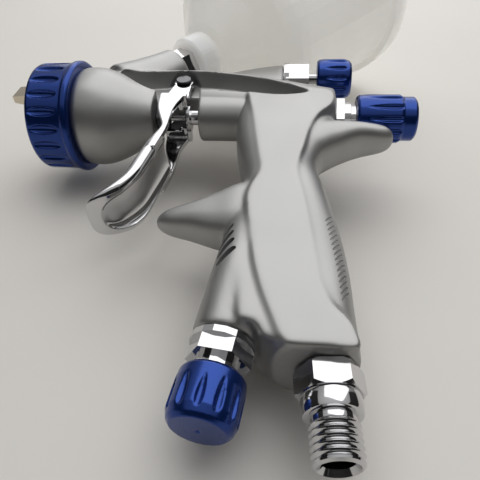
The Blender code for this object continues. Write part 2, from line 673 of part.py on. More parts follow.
def make_cap_and_ring():
    ring_frame = joint_frame("ring_turn", axial(0.0))
    inner = NECK_R + FIT
    lip_r = CAP_R - 2.6 * MM
    front = RING_LENGTH
    ring = turned("air_cap_ring", [
        (RING_FRONT_R - 1.6 * MM, front), (RING_FRONT_R - 0.5 * MM, front - 0.5 * MM),
        (RING_FRONT_R, front - 1.6 * MM), (RING_REAR_R - 0.9 * MM, RING_BEAD + 0.6 * MM),
        (RING_REAR_R, RING_BEAD - 0.4 * MM), (RING_REAR_R, 0.9 * MM), (RING_REAR_R - 0.9 * MM, 0),
        (inner, 0), (inner, front - RING_LIP), (lip_r, front - RING_LIP), (lip_r, front)],
        "blue", ring_frame, Matrix(), 40)
    flutes = flute_mesh("ring_flutes", RING_FLUTES, RING_FRONT_R + 0.7 * MM, RING_BEAD + 1.0 * MM,
                        front + 3.0 * MM, RING_FLUTE_WIDTH, RING_FLUTE_DEPTH + 0.7 * MM, 1)
    boolean(ring, add_tool("ring_flutes", flutes, axial(0.0)))

    cap_frame = joint_frame("cap_turn", axial(0.0))
    seat = front - RING_LIP - FIT
    rear = seat - CAP_DEPTH
    face = front + 3.4 * MM
    cap = turned("air_cap", [
        (CAP_HOLE_R, face), (CAP_FACE_R - 4.5 * MM, face), (CAP_FACE_R, seat + 2.0 * MM),
        (CAP_FACE_R, seat), (CAP_R, seat), (CAP_R, rear), (CAP_R - CAP_WALL, rear),
        (CAP_R - CAP_WALL - 3.0 * MM, seat - CAP_WALL), (CAP_FACE_R - 5.5 * MM, face - CAP_WALL),
        (CAP_HOLE_R, face - CAP_WALL)], "champagne", cap_frame, Matrix(), ROUND)
    for side in (1, -1):
        name = "cap_horn_left" if side > 0 else "cap_horn_right"
        low = seat + 0.6 * MM
        high = face + HORN_REACH
        outer = CAP_FACE_R - 0.6 * MM
        outline = [(outer - HORN_ROOT, low), (outer, low), (outer - 1.2 * MM, high),
                   (outer - 1.2 * MM - HORN_TIP, high)]
        outline = [(side * r, h) for r, h in outline]
        if side < 0:
            outline.reverse()
        mesh = prism_mesh(name, outline, -HORN_WIDTH / 2, HORN_WIDTH / 2)
        stand = Matrix(((1, 0, 0, 0), (0, 0, -1, 0), (0, 1, 0, 0), (0, 0, 0, 1)))
        boolean(cap, add_tool(name, mesh, axial(0.0) @ stand), "UNION")


def make_nozzle_parts():
    base = NECK_LENGTH - SOCKET_DEPTH
    shelf = base + FIT
    gasket_top = shelf + GASKET_WIDTH
    turned("head_gasket", tube_points(SOCKET_R - FIT, NOZZLE_HEX_R + 3 * MM, shelf, gasket_top),
           "rubber", ROOT, axial(0.0), FINE)
    distributor = gasket_top + FIT
    turned("air_distributor", tube_points(SOCKET_R - FIT, NOZZLE_HEX_R + FIT, distributor,
                                          distributor + DISTRIBUTOR_WIDTH),
           "brass", ROOT, axial(0.0), FINE)
    tip = RING_LENGTH + 3.8 * MM
    point = NEEDLE_POINT
    turned("fluid_nozzle", [
        (NOZZLE_TIP_R, tip), (NOZZLE_TIP_R, tip - 3.0 * MM), (NOZZLE_BODY_R - 2.4 * MM, tip - 7.0 * MM),
        (NOZZLE_BODY_R, tip - 8.2 * MM), (NOZZLE_BODY_R, shelf + 7.0 * MM),
        (NOZZLE_HEX_R, shelf + 6.4 * MM), (NOZZLE_HEX_R, shelf), (NOZZLE_SPIGOT_R, shelf),
        (NOZZLE_SPIGOT_R, shelf - NOZZLE_SPIGOT + 1 * MM),
        (NOZZLE_BORE_R, shelf - NOZZLE_SPIGOT + 1 * MM),
        (NOZZLE_BORE_R, tip - point), (ORIFICE_R, tip - 1.0 * MM), (ORIFICE_R, tip)],
        "steel", ROOT, axial(0.0))
    rear = -BELL_LENGTH
    turned("needle_packing", tube_points(CHAMBER_R - FIT, NEEDLE_R + RUN, rear + 0.6 * MM,
                                         rear + PACKING_LENGTH), "ptfe", ROOT, axial(0.0), HIDDEN)
    nut = prism_mesh("packing_nut", hex_points(PACKING_NUT_ACROSS),
                     rear - FIT - PACKING_NUT_LENGTH, rear - FIT)
    item = add_part("packing_nut", nut, "brass", ROOT, axial(0.0))
    boolean(item, bore_tool("packing_nut_bore", NEEDLE_R + RUN, rear - 10 * MM, rear + BEYOND,
                            axial(0.0)))


def make_needle_and_valve():
    tip = RING_LENGTH + 3.8 * MM
    needle_frame = joint_frame("needle_slide", axial(0.0))
    tail = NEEDLE_STOP_X - NEEDLE_STOP_LENGTH
    turned("fluid_needle", [
        (0, tip - 0.4 * MM), (ORIFICE_R - 0.35 * MM, tip - 0.5 * MM),
        (NEEDLE_R, tip - NEEDLE_POINT - 3 * MM), (NEEDLE_R, NEEDLE_STOP_X),
        (NEEDLE_STOP_R, NEEDLE_STOP_X), (NEEDLE_STOP_R, tail), (NEEDLE_R, tail),
        (NEEDLE_R, tail - NEEDLE_TAIL), (0, tail - NEEDLE_TAIL)],
        "steel", needle_frame, Matrix(), HIDDEN)

    spindle_frame = joint_frame("valve_slide", axial(0.0))
    head = PUSHER_X - PUSHER_R - FIT
    bore = NEEDLE_R + RUN
    disc_rear = VALVE_DISC_X - VALVE_DISC
    end = NEEDLE_STOP_X + FIT
    turned("air_valve_spindle", [
        (SPINDLE_HEAD_R - 0.4 * MM, head), (SPINDLE_HEAD_R, head - 0.4 * MM),
        (SPINDLE_HEAD_R, head - SPINDLE_HEAD), (SPINDLE_R, head - SPINDLE_HEAD),
        (SPINDLE_R, VALVE_DISC_X), (VALVE_DISC_R, VALVE_DISC_X), (VALVE_DISC_R, disc_rear),
        (VALVE_TAIL_R, disc_rear), (VALVE_TAIL_R, end), (bore, end), (bore, head)],
        "chrome", spindle_frame, Matrix())

    hole = SPINDLE_R + RUN
    gland_rear = BARREL_FRONT_X - GLAND_LENGTH
    turned("valve_gland", tube_points(VALVE_BORE_R - FIT, hole, gland_rear, BARREL_FRONT_X),
           "brass", ROOT, axial(0.0))
    seat_front = VALVE_DISC_X + FIT + VALVE_SEAT
    turned("air_valve_seat", tube_points(VALVE_BORE_R - FIT, hole + 0.6 * MM, VALVE_DISC_X + FIT,
                                         seat_front), "ptfe", ROOT, axial(0.0), HIDDEN)
    coil("air_valve_spring", VALVE_SPRING_R - WIRE_R, BUSHING_NOSE_X + FIT, disc_rear - FIT, 7, ROOT)


def make_fluid_control():
    hex_front = REAR_FACE_X - FIT
    hex_rear = hex_front - BUSHING_HEX
    tail_end = hex_rear - LOCK_NUT - THRUST_RING - 2 * FIT - BUSHING_TAIL
    hexagon = prism_mesh("fluid_bushing", hex_points(BUSHING_HEX_ACROSS), hex_rear, hex_front)
    bushing = add_part("fluid_bushing", hexagon, "chrome", ROOT, axial(0.0))
    boolean(bushing, bore_tool("bushing_nose", VALVE_BORE_R - FIT, hex_front - 1 * MM,
                               BUSHING_NOSE_X, axial(0.0)), "UNION")
    boolean(bushing, bore_tool("bushing_tail", BUSHING_TAIL_R, tail_end, hex_rear + 1 * MM,
                               axial(0.0)), "UNION")
    boolean(bushing, bore_tool("bushing_bore", BUSHING_BORE_R, tail_end - BEYOND,
                               BUSHING_NOSE_X + BEYOND, axial(0.0)))
    hole = BUSHING_TAIL_R + RUN
    nut_front = hex_rear - FIT
    nut_rear = nut_front - LOCK_NUT
    turned("fluid_lock_nut", tube_points(LOCK_NUT_R, hole, nut_rear, nut_front), "chrome", ROOT,
           axial(0.0))
    thrust_front = nut_rear - FIT
    thrust_rear = thrust_front - THRUST_RING
    turned("fluid_thrust_ring", tube_points(THRUST_RING_R, hole, thrust_rear, thrust_front),
           "chrome", ROOT, axial(0.0))

    knob_front = thrust_rear - FIT
    knob_rear = knob_front - FLUID_KNOB_LENGTH
    floor = knob_rear + 3.0 * MM
    frame = joint_frame("fluid_knob_turn", axial(0.0))
    edge = KNOB_EDGE
    band = knob_rear + FLUID_KNOB_BAND
    band_r = FLUID_KNOB_R - 1.0 * MM
    bore = FLUID_KNOB_BORE_R
    knob = turned("fluid_knob", [
        (bore, knob_front), (FLUID_KNOB_R - edge, knob_front), (FLUID_KNOB_R - 0.3 * MM, knob_front - edge),
        (FLUID_KNOB_R, knob_front - 5 * MM), (FLUID_KNOB_R, band + 1.6 * MM), (band_r, band),
        (band_r, knob_rear + edge), (band_r - edge, knob_rear), (0, knob_rear), (0, floor),
        (bore, floor)], "blue", frame, Matrix(), 36)
    flutes = flute_mesh("fluid_knob_flutes", KNOB_FLUTES, FLUID_KNOB_R + 0.5 * MM, band - 1.0 * MM,
                        knob_front - 1.5 * MM, 3.6 * MM, 2.2 * MM, -1)
    boolean(knob, add_tool("fluid_knob_flutes", flutes, axial(0.0)))
    stop_rear = NEEDLE_STOP_X - NEEDLE_STOP_LENGTH
    coil("needle_spring", BUSHING_BORE_R - 0.25 * MM - WIRE_R, floor + FIT, stop_rear - FIT, 8, ROOT)


# Knobs on short stems

def knob_points(radius, high, length, stem, socket):
    """A knob whose socket opens at the top, where the stem comes in."""
    low = high - length
    edge = KNOB_EDGE
    return [(stem + RUN, high), (radius - edge, high), (radius - 0.3 * MM, high - edge),
            (radius, high - 4 * MM), (radius, low + 3.4 * MM), (radius - 0.8 * MM, low + edge),
            (radius - 0.8 * MM - edge, low), (0, low), (0, high - socket), (stem + RUN, high - socket)]


def make_fan_control():
    place = axial(0.0, FAN_Z)
    flange_front = FAN_FACE_X - FIT
    nut_rear = flange_front - FAN_FLANGE - FAN_NUT
    nut_mesh = prism_mesh("fan_valve_nut", hex_points(FAN_NUT_ACROSS), nut_rear,
                          flange_front - 1 * MM)
    nut = add_part("fan_valve_nut", nut_mesh, "chrome", ROOT, place)
    boolean(nut, bore_tool("fan_flange", FAN_BOSS_R, flange_front - FAN_FLANGE, flange_front,
                           place), "UNION")
    boolean(nut, bore_tool("fan_nut_spigot", FAN_BORE_R - FIT, flange_front - 1 * MM,
                           flange_front + 8 * MM, place), "UNION")
    boolean(nut, bore_tool("fan_nut_bore", FAN_STEM_R + RUN, nut_rear - BEYOND,
                           flange_front + 10 * MM, place))
    frame = joint_frame("fan_knob_turn", place)
    socket = 8 * MM
    front = flange_front + 20 * MM
    rear = FAN_KNOB_X - socket + FIT
    turned("fan_valve_stem", [(0, front), (FAN_STEM_R - 1.6 * MM, front - 1 * MM),
                              (FAN_STEM_R, front - 6 * MM), (FAN_STEM_R, rear), (0, rear)],
           "chrome", frame, Matrix(), HIDDEN)
    knob = turned("fan_knob", knob_points(FAN_KNOB_R, FAN_KNOB_X, FAN_KNOB_LENGTH, FAN_STEM_R, socket),
                  "blue", frame, Matrix(), 36)
    flutes = flute_mesh("fan_knob_flutes", KNOB_FLUTES, FAN_KNOB_R + 0.5 * MM,
                        FAN_KNOB_X - FAN_KNOB_LENGTH + 1.6 * MM, FAN_KNOB_X - 1.5 * MM,
                        3.2 * MM, 1.9 * MM, -1)
    boolean(knob, add_tool("fan_knob_flutes", flutes, place))


def make_regulator():
    place = leaning(REGULATOR_FOOT, REGULATOR_LEAN)
    top = REGULATOR_FACE - FIT
    flange_low = top - REGULATOR_FLANGE
    nut_low = flange_low - REGULATOR_NUT
    nut_mesh = prism_mesh("regulator_nut", hex_points(REGULATOR_NUT_ACROSS), nut_low, top - 1 * MM)
    nut = add_part("regulator_nut", nut_mesh, "chrome", ROOT, place)
    boolean(nut, bore_tool("regulator_flange", REGULATOR_FLANGE_R, flange_low, top, place), "UNION")
    boolean(nut, bore_tool("regulator_spigot", REGULATOR_BORE_R - FIT, top - 1 * MM, top + 9 * MM,
                           place), "UNION")
    neck_low = REGULATOR_KNOB_LENGTH + FIT
    boolean(nut, bore_tool("regulator_neck", REGULATOR_NECK_R, neck_low, nut_low + 1 * MM, place),
            "UNION")
    boolean(nut, bore_tool("regulator_nut_bore", REGULATOR_STEM_R + RUN, 0, top + 12 * MM, place))
    frame = joint_frame("regulator_knob_turn", place)
    socket = 8 * MM
    stem_low = REGULATOR_KNOB_LENGTH - socket + FIT
    stem_top = top + 18 * MM
    turned("regulator_stem", [(0, stem_top), (REGULATOR_STEM_R - 1.6 * MM, stem_top - 1 * MM),
                              (REGULATOR_STEM_R, stem_top - 6 * MM), (REGULATOR_STEM_R, stem_low),
                              (0, stem_low)], "chrome", frame, Matrix(), HIDDEN)
    knob = turned("regulator_knob", knob_points(REGULATOR_KNOB_R, REGULATOR_KNOB_LENGTH,
                                                REGULATOR_KNOB_LENGTH, REGULATOR_STEM_R, socket),
                  "blue", frame, Matrix(), 36)
    flutes = flute_mesh("regulator_knob_flutes", KNOB_FLUTES, REGULATOR_KNOB_R + 0.5 * MM, 1.6 * MM,
                        REGULATOR_KNOB_LENGTH - 1.5 * MM, 3.3 * MM, 1.9 * MM, -1)
    boolean(knob, add_tool("regulator_knob_flutes", flutes, place))


def make_inlet():
    place = leaning(INLET_END, INLET_LEAN)
    foot = inlet_foot() - FIT
    collar_low = INLET_THREAD + INLET_NECK
    collar_top = collar_low + INLET_COLLAR
    hexagon = prism_mesh("air_inlet", hex_points(INLET_ACROSS), collar_top - 0.6 * MM, foot)
    inlet = add_part("air_inlet", hexagon, "chrome", ROOT, place)
    shank = turned_tool("inlet_shank", [
        (0, foot + INLET_SPIGOT), (INLET_SPIGOT_R, foot + INLET_SPIGOT),
        (INLET_SPIGOT_R, collar_top - 0.3 * MM), (INLET_COLLAR_R - 0.6 * MM, collar_top - 0.3 * MM),
        (INLET_COLLAR_R, collar_top - 1.0 * MM), (INLET_COLLAR_R, collar_low + 0.7 * MM),
        (INLET_COLLAR_R - 0.7 * MM, collar_low), (INLET_NECK_R, collar_low),
        (INLET_NECK_R, INLET_THREAD), (INLET_THREAD_R, INLET_THREAD - 0.7 * MM),
        (INLET_THREAD_R, 1.3 * MM), (INLET_THREAD_R - 1.0 * MM, 0), (0, 0)], place, ROUND)
    boolean(inlet, shank, "UNION")
    bore = turned_tool("inlet_mouth", [
        (0, foot + INLET_SPIGOT + BEYOND), (INLET_BORE_R, foot + INLET_SPIGOT + BEYOND),
        (INLET_BORE_R, 1.6 * MM), (INLET_MOUTH_R, 0), (INLET_MOUTH_R, -BEYOND), (0, -BEYOND)],
        place)
    boolean(inlet, bore)


# Trigger

def ear_outline():
    """The upper part of a fork arm about the pivot, as (forward, up)."""
    eye = [(EAR_R * math.cos(math.radians(a)), EAR_R * math.sin(math.radians(a)))
           for a in range(-30, 211, 30)]
    low = ARM_TOP - PIVOT.z
    return eye + [(-4.6 * MM, low - 3 * MM), (7.4 * MM, low - 3 * MM)]


def arm_outline():
    """A fork arm about the pivot, from its wide top down into the blade's side."""
    top = ARM_TOP - PIVOT.z
    rear = [(-1.6, -24.7), (-0.9, -29.0), (-0.7, -34.0), (-0.9, -41.0), (-0.5, -47.0), (0.9, -57.0)]
    front = [(4.2, -57.0), (3.0, -50.0), (1.8, -45.0), (1.6, -41.0), (3.4, -36.0), (5.8, -29.0),
             (6.7, -24.0)]
    return ([(7.4 * MM, top), (-3.6 * MM, top), (-3.9 * MM, top - 1.0 * MM)]
            + [(x * MM, z * MM) for x, z in rear + front])


def both_sides(name, outline, inner, outer, place):
    """The same plate on the left and on the right of the barrel."""
    left = add_tool(name + "_left", side_mesh(name + "_left", outline, inner, outer), place)
    right = add_tool(name + "_right", side_mesh(name + "_right", outline, -outer, -inner), place)
    return [left, right]


def make_trigger():
    frame = joint_frame("trigger_pivot", Matrix.Translation(PIVOT))
    place = crosswise(PIVOT.x, PIVOT.z)
    outer = ARM_INNER + ARM_THICK
    side = BLADE_HALF / (11.7 * MM)
    depth = BLADE_DEPTH / (7.2 * MM)
    rows = in_mm([
        (-86.4, 19.6, 0, 1.6, 6.4, 2.0), (-85.6, 17.6, 0, 3.2, 8.6, 2.2),
        (-83.6, 14.2, 0, 3.9, 10.2, 2.5), (-79.4, 9.8, 0, 3.9, 11.4, 2.8),
        (-73.0, 6.6, 0, 3.6, 11.7, 3.0), (-64.0, 5.0, 0, 3.6, 11.7, 3.0),
        (-54.0, 3.4, 0, 3.3, 11.7, 3.0), (-47.0, 2.0, 0, 2.7, 11.6, 2.8),
        (-44.4, 1.6, 0, 1.5, 11.2, 2.4)])
    rows = [(h, x, y, a * depth, b * side, p) for h, x, y, a, b, p in rows]
    trigger = add_part("trigger", loft_mesh("trigger", rows, 24, 2), "chrome", frame, Matrix())
    push_x = PUSHER_X - PIVOT.x
    joined = both_sides("ear", ear_outline(), EAR_INNER, EAR_INNER + ARM_THICK, place)
    joined += both_sides("arm", arm_outline(), ARM_INNER, outer, place)
    low = ARM_TOP - PIVOT.z
    shoulder = [(-4.6 * MM, low - 3 * MM), (7.4 * MM, low - 3 * MM), (7.4 * MM, low), (-4.6 * MM, low)]
    joined += both_sides("shoulder", shoulder, EAR_INNER, outer, place)
    for name, inner, reach in (("pusher_left", PUSHER_REACH, ARM_INNER + 1 * MM),
                               ("pusher_right", -ARM_INNER - 1 * MM, -PUSHER_REACH)):
        joined.append(bore_tool(name, PUSHER_R, inner, reach, crosswise(PIVOT.x + push_x, 0.0), 12))
    for tool in joined:
        boolean(trigger, tool, "UNION")
    hollow = in_mm([
        (-87.2, 15.0, 0, 1.2, 4.0, 2.0), (-84.2, 10.6, 0, 4.2, 7.2, 2.2),
        (-79.4, 5.4, 0, 4.8, 8.8, 2.3), (-72.0, 1.8, 0, 4.6, 9.2, 2.3),
        (-62.0, -0.4, 0, 4.6, 9.2, 2.3), (-52.0, -2.2, 0, 4.6, 9.1, 2.3),
        (-42.0, -3.8, 0, 4.6, 9.0, 2.3)])
    hollow = [(h, x, y, a, b * side, p) for h, x, y, a, b, p in hollow]
    boolean(trigger, add_tool("blade_hollow", loft_mesh("blade_hollow", hollow, 20, 2),
                              Matrix.Translation(PIVOT)))
    boolean(trigger, bore_tool("trigger_pin_hole", PIN_R + RUN, -20 * MM, 20 * MM, place))

    half = EAR_INNER + ARM_THICK + FIT
    split = -EAR_INNER + 1 * MM
    turned("trigger_pin", [(0, half + PIN_HEAD), (PIN_HEAD_R - 0.3 * MM, half + PIN_HEAD),
                           (PIN_HEAD_R, half + PIN_HEAD - 0.3 * MM), (PIN_HEAD_R, half),
                           (PIN_R, half), (PIN_R, split), (0, split)], "chrome", ROOT, place)
    turned("trigger_pin_screw", [(0, split - FIT), (PIN_R, split - FIT), (PIN_R, -half),
                                 (PIN_HEAD_R, -half), (PIN_HEAD_R, -half - PIN_HEAD),
                                 (0, -half - PIN_HEAD)], "chrome", ROOT, place)


# Cup

def cup_heights():
    """Neck, shoulder and rim heights on the cup's axis."""
    neck = ADAPTER_HEX + 2 * FIT
    cone = neck + CUP_NECK
    wall = cone + CUP_CONE
    return neck, cone, wall, wall + CUP_WALL_HEIGHT


def make_cup():
    place = leaning(CUP_SEAT, CUP_LEAN)
    neck, cone, wall, rim = cup_heights()
    hexagon = prism_mesh("cup_adapter", hex_points(ADAPTER_HEX_R * math.sqrt(3)), FIT,
                         FIT + ADAPTER_HEX)
    adapter = add_part("cup_adapter", hexagon, "chrome", ROOT, place)
    boolean(adapter, bore_tool("adapter_shank", BOSS_BORE_R - FIT, -BOSS_BORE + FIT, FIT + 1 * MM,
                               place), "UNION")
    top = FIT + ADAPTER_HEX + ADAPTER_TOP
    boolean(adapter, bore_tool("adapter_top", ADAPTER_TOP_R, ADAPTER_HEX, top, place), "UNION")
    boolean(adapter, bore_tool("adapter_bore", ADAPTER_BORE_R, -BOSS_BORE - BEYOND, top + BEYOND,
                               place))

    turned("cup_filter", [
        (FILTER_R - 1.2 * MM, FILTER_LENGTH), (FILTER_R, 2 * MM), (FILTER_R, 0),
        (FILTER_R - FILTER_WALL, 0), (FILTER_R - FILTER_WALL, 2 * MM),
        (FILTER_R - 1.2 * MM - FILTER_WALL, FILTER_LENGTH - FILTER_WALL),
        (0, FILTER_LENGTH - FILTER_WALL), (0, FILTER_LENGTH)], "mesh", ROOT, place)

    cup_frame = joint_frame("cup_turn", place)
    hole = ADAPTER_TOP_R + FIT
    w = CUP_WALL
    outer = [(CUP_R, rim), (CUP_R, wall), (CUP_R - 1.2 * MM, wall - 5 * MM),
             (CUP_R - 5.0 * MM, wall - 11 * MM), (CUP_R * 0.68, wall - 18 * MM),
             (CUP_NECK_R + 4.0 * MM, cone + 2 * MM), (CUP_NECK_R, cone),
             (CUP_NECK_R, neck + 1 * MM), (CUP_NECK_R - 0.8 * MM, neck), (hole, neck)]
    inner = [(hole, cone), (CUP_NECK_R + 3.4 * MM, cone + w + 2 * MM),
             (CUP_R * 0.68 - 0.8 * w, wall - 18 * MM + w), (CUP_R - 5.0 * MM - w, wall - 11 * MM + w),
             (CUP_R - 1.2 * MM - w, wall - 5 * MM + w), (CUP_R - w, wall + w), (CUP_R - w, rim)]
    turned("paint_cup", outer + inner, "nylon", cup_frame, Matrix(), 40)

    lid_frame = joint_frame("lid_turn", place)
    inside = CUP_R + FIT
    base = rim + FIT
    lid_top = base + LID_WALL
    low = lid_top - LID_SKIRT
    turned("cup_lid", [
        (VENT_R + FIT, lid_top + LID_DOME), (LID_LAND_R, lid_top + LID_DOME),
        (LID_R * 0.55, lid_top + LID_DOME * 0.72), (LID_R - 4 * MM, lid_top + 0.6 * MM),
        (LID_R - 1 * MM, lid_top), (LID_R, lid_top - 1.2 * MM), (LID_R, low),
        (inside, low), (inside, base), (LID_R - 6 * MM, base),
        (LID_R * 0.55, base + LID_DOME * 0.72), (VENT_R + FIT, base + LID_DOME)],
        "nylon", lid_frame, Matrix(), 40)

    plug_frame = joint_frame("vent_plug_lift", place)
    seat = lid_top + LID_DOME + FIT
    turned("vent_plug", [
        (VENT_BORE_R, seat + VENT_HEAD), (VENT_HEAD_R - 0.6 * MM, seat + VENT_HEAD),
        (VENT_HEAD_R, seat + VENT_HEAD - 0.6 * MM), (VENT_HEAD_R, seat), (VENT_R, seat),
        (VENT_R, base + LID_DOME - 1.5 * MM), (VENT_BORE_R, base + LID_DOME - 1.5 * MM)],
        "rubber", plug_frame, Matrix())


# Frames and the lying pose

def joint_frame(name, place):
    frame = bpy.data.objects.new(name, None)
    PARTS.objects.link(frame)
    frame.empty_display_size = 10 * MM
    frame.parent = ROOT
    frame.matrix_local = place
    return frame


def contact(centre, axis, radius, up):
    """The lowest point of a circle below the direction up."""
    across = up - axis * up.dot(axis)
    return centre - across.normalized() * radius


def lying_turn():
    """Turn that lays the gun on its lid, its air cap ring and its regulator knob."""
    cup_axis = leaning(CUP_SEAT, CUP_LEAN)
    rim = cup_heights()[3]
    down_axis = leaning(REGULATOR_FOOT, REGULATOR_LEAN)
    circles = [
        (cup_axis @ Vector((0, 0, rim + LID_WALL - LID_SKIRT)), cup_axis.col[2].xyz, LID_R),
        (Vector((0, 0, 0)), Vector((1, 0, 0)), RING_REAR_R),
        (down_axis @ Vector((0, 0, 4 * MM)), down_axis.col[2].xyz, REGULATOR_KNOB_R),
    ]
    up = Vector((0, 1, 0))
    for _ in range(20):
        a, b, c = [contact(centre, axis, radius, up) for centre, axis, radius in circles]
        up = (b - a).cross(c - a).normalized()
        if up.y < 0:
            up = -up
    forward = (Vector((-1, 0, 0)) + up * up.x).normalized()
    side = up.cross(forward)
    return Matrix((forward, side, up)).to_4x4()


def lay_down():
    """Lay the gun down and put the middle of its underside at the origin."""
    ROOT.matrix_world = lying_turn()
    bpy.context.view_layer.update()
    graph = bpy.context.evaluated_depsgraph_get()
    points = []
    for item in PARTS.objects:
        if item.type == "MESH":
            shape = item.evaluated_get(graph)
            points += [item.matrix_world @ vert.co for vert in shape.data.vertices]
    low = Vector([min(p[i] for p in points) for i in range(3)])
    high = Vector([max(p[i] for p in points) for i in range(3)])
    middle = (low + high) / 2
    ROOT.matrix_world = Matrix.Translation((-middle.x, -middle.y, -low.z)) @ lying_turn()


clear_scene()
PARTS = new_collection("spray_gun")
TOOLS = new_collection("cutters")
ROOT = bpy.data.objects.new("gun_frame", None)
PARTS.objects.link(ROOT)
make_body()
make_cap_and_ring()
make_nozzle_parts()
make_needle_and_valve()
make_fluid_control()
make_fan_control()
make_regulator()
make_inlet()
make_trigger()
make_cup()
lay_down()
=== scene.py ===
import json
import math

import bpy
from mathutils import Matrix, Vector


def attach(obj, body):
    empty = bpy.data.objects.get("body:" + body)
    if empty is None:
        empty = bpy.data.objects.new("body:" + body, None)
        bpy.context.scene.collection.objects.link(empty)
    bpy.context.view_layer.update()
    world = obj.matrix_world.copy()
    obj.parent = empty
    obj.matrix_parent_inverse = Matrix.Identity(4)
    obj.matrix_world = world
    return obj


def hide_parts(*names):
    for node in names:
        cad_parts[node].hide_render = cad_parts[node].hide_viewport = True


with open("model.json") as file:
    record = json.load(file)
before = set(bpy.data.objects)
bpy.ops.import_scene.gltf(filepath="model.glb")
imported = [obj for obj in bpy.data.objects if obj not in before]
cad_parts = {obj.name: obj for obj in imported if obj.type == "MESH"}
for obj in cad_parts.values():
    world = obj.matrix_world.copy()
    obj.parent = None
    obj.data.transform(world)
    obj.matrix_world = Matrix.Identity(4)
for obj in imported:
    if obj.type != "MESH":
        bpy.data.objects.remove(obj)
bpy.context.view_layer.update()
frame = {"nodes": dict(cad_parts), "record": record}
NODES = frame["nodes"]
RECORD = frame["record"]
SLOTS = {s["node"]: s["material_slot"] for s in RECORD["subparts"]}
MM = 0.001


# Places. The finer pieces are made in millimetres of the gun's own frame: X forward to the
# nozzle, Y to its left, Z up to the cup, with the origin on the barrel axis at the ring's rear.

PIN = Vector((-43.0, 0.0, 17.0))          # the trigger's pin
PIN_BORE = 2.3                            # radius of its hole
FIT = 0.3                                 # gap between pieces that touch


def joint(name):
    return next(j for j in RECORD["behaviour"]["joints"] if j["name"] == name)


def gun_frame():
    """The gun's frame in the scene, from the needle's slide and the trigger's hinge."""
    forward = -Vector(joint("needle_slide")["axis"]).normalized()
    left = Vector(joint("trigger_pivot")["axis"]).normalized()
    up = forward.cross(left).normalized()
    turn = Matrix((forward, left, up)).transposed().to_4x4()
    pivot = Vector(joint("trigger_pivot")["pos_m"])
    origin = pivot - turn.to_3x3() @ PIN * MM
    return Matrix.Translation(origin) @ turn


def lean(x, z, degrees):
    """A place on the gun's middle plane whose Z axis leans back from upright."""
    return Matrix.Translation((x, 0, z)) @ Matrix.Rotation(math.radians(-degrees), 4, "Y")


GUN = gun_frame()
ALONG = Matrix(((0, 0, 1, 0), (1, 0, 0, 0), (0, 1, 0, 0), (0, 0, 0, 1)))   # local Z runs along X
ACROSS = Matrix.Rotation(math.radians(-90), 4, "X")                        # local Z runs along Y
AT_PIN = Matrix.Translation(PIN)
FAN_AXIS = Matrix.Translation((0, 0, 36.6)) @ ALONG
CUP_NECK = lean(-33, 46, 38)
REGULATOR = lean(-74.3, -144.0, 7.1)
INLET = lean(-108.1, -150.3, -4.3)


# Materials

def new_material(name):
    material = bpy.data.materials.new(name)
    material.use_nodes = True
    tree = material.node_tree
    return material, tree, tree.nodes["Principled BSDF"]


def set_inputs(node, **values):
    """Set sockets by name, with an underscore for each space."""
    for key, value in values.items():
        node.inputs[key.replace("_", " ")].default_value = value


def noise(tree, scale, detail, rough, stretch=None):
    """Noise in the object's own space, finer along an axis whose stretch is over 1."""
    node = tree.nodes.new("ShaderNodeTexNoise")
    set_inputs(node, Scale=scale, Detail=detail, Roughness=rough)
    source = tree.nodes.new("ShaderNodeTexCoord").outputs["Object"]
    if stretch:
        mapping = tree.nodes.new("ShaderNodeMapping")
        mapping.inputs["Scale"].default_value = stretch
        tree.links.new(source, mapping.inputs["Vector"])
        source = mapping.outputs["Vector"]
    tree.links.new(source, node.inputs["Vector"])
    return node.outputs["Fac"]


def tint(tree, source, stops, target):
    """Drive a colour socket through a ramp of (place, colour) stops."""
    node = tree.nodes.new("ShaderNodeValToRGB")
    tree.links.new(source, node.inputs["Fac"])
    elements = node.color_ramp.elements
    while len(elements) < len(stops):
        elements.new(0.5)
    for element, (place, colour) in zip(elements, stops):
        element.position = place
        element.color = (*colour, 1.0)
    tree.links.new(node.outputs["Color"], target)


def roughen(tree, shader, heights, depth, strength):
    """Raise a fine grain from a noise, its depth in metres."""
    node = tree.nodes.new("ShaderNodeBump")
    set_inputs(node, Distance=depth, Strength=strength)
    tree.links.new(heights, node.inputs["Height"])
    tree.links.new(node.outputs["Normal"], shader.inputs["Normal"])


def grey(value):
    return (value, value, value)


def shade(colour, factor):
    return tuple(min(1.0, c * factor) for c in colour)


def metal(name, colour, rough, spread, grain, depth, strength, metallic=1.0, coat=0.0, stretch=None):
    """A metal whose tone and roughness vary a little, with a fine grain."""
    material, tree, shader = new_material(name)
    set_inputs(shader, Metallic=metallic, Coat_Weight=coat, Coat_Roughness=0.12)
    fine = noise(tree, grain, detail=3.0, rough=0.6, stretch=stretch)
    broad = noise(tree, 38.0, detail=4.0, rough=0.55)
    tint(tree, broad, [(0.30, shade(colour, 1.0 - spread)), (0.72, shade(colour, 1.0 + spread))],
         shader.inputs["Base Color"])
    tint(tree, broad, [(0.28, grey(rough * 0.86)), (0.75, grey(min(1.0, rough * 1.16)))],
         shader.inputs["Roughness"])
    roughen(tree, shader, fine, depth, strength)
    return material


def plain(name, colour, rough, grain, strength):
    """Rubber, plastic or mesh: an even tone with a fine grain."""
    material, tree, shader = new_material(name)
    set_inputs(shader, Roughness=rough)
    tint(tree, noise(tree, 60.0, detail=4.0, rough=0.5),
         [(0.3, shade(colour, 0.9)), (0.7, shade(colour, 1.08))], shader.inputs["Base Color"])
    roughen(tree, shader, noise(tree, grain, detail=3.0, rough=0.5), depth=0.0001, strength=strength)
    return material


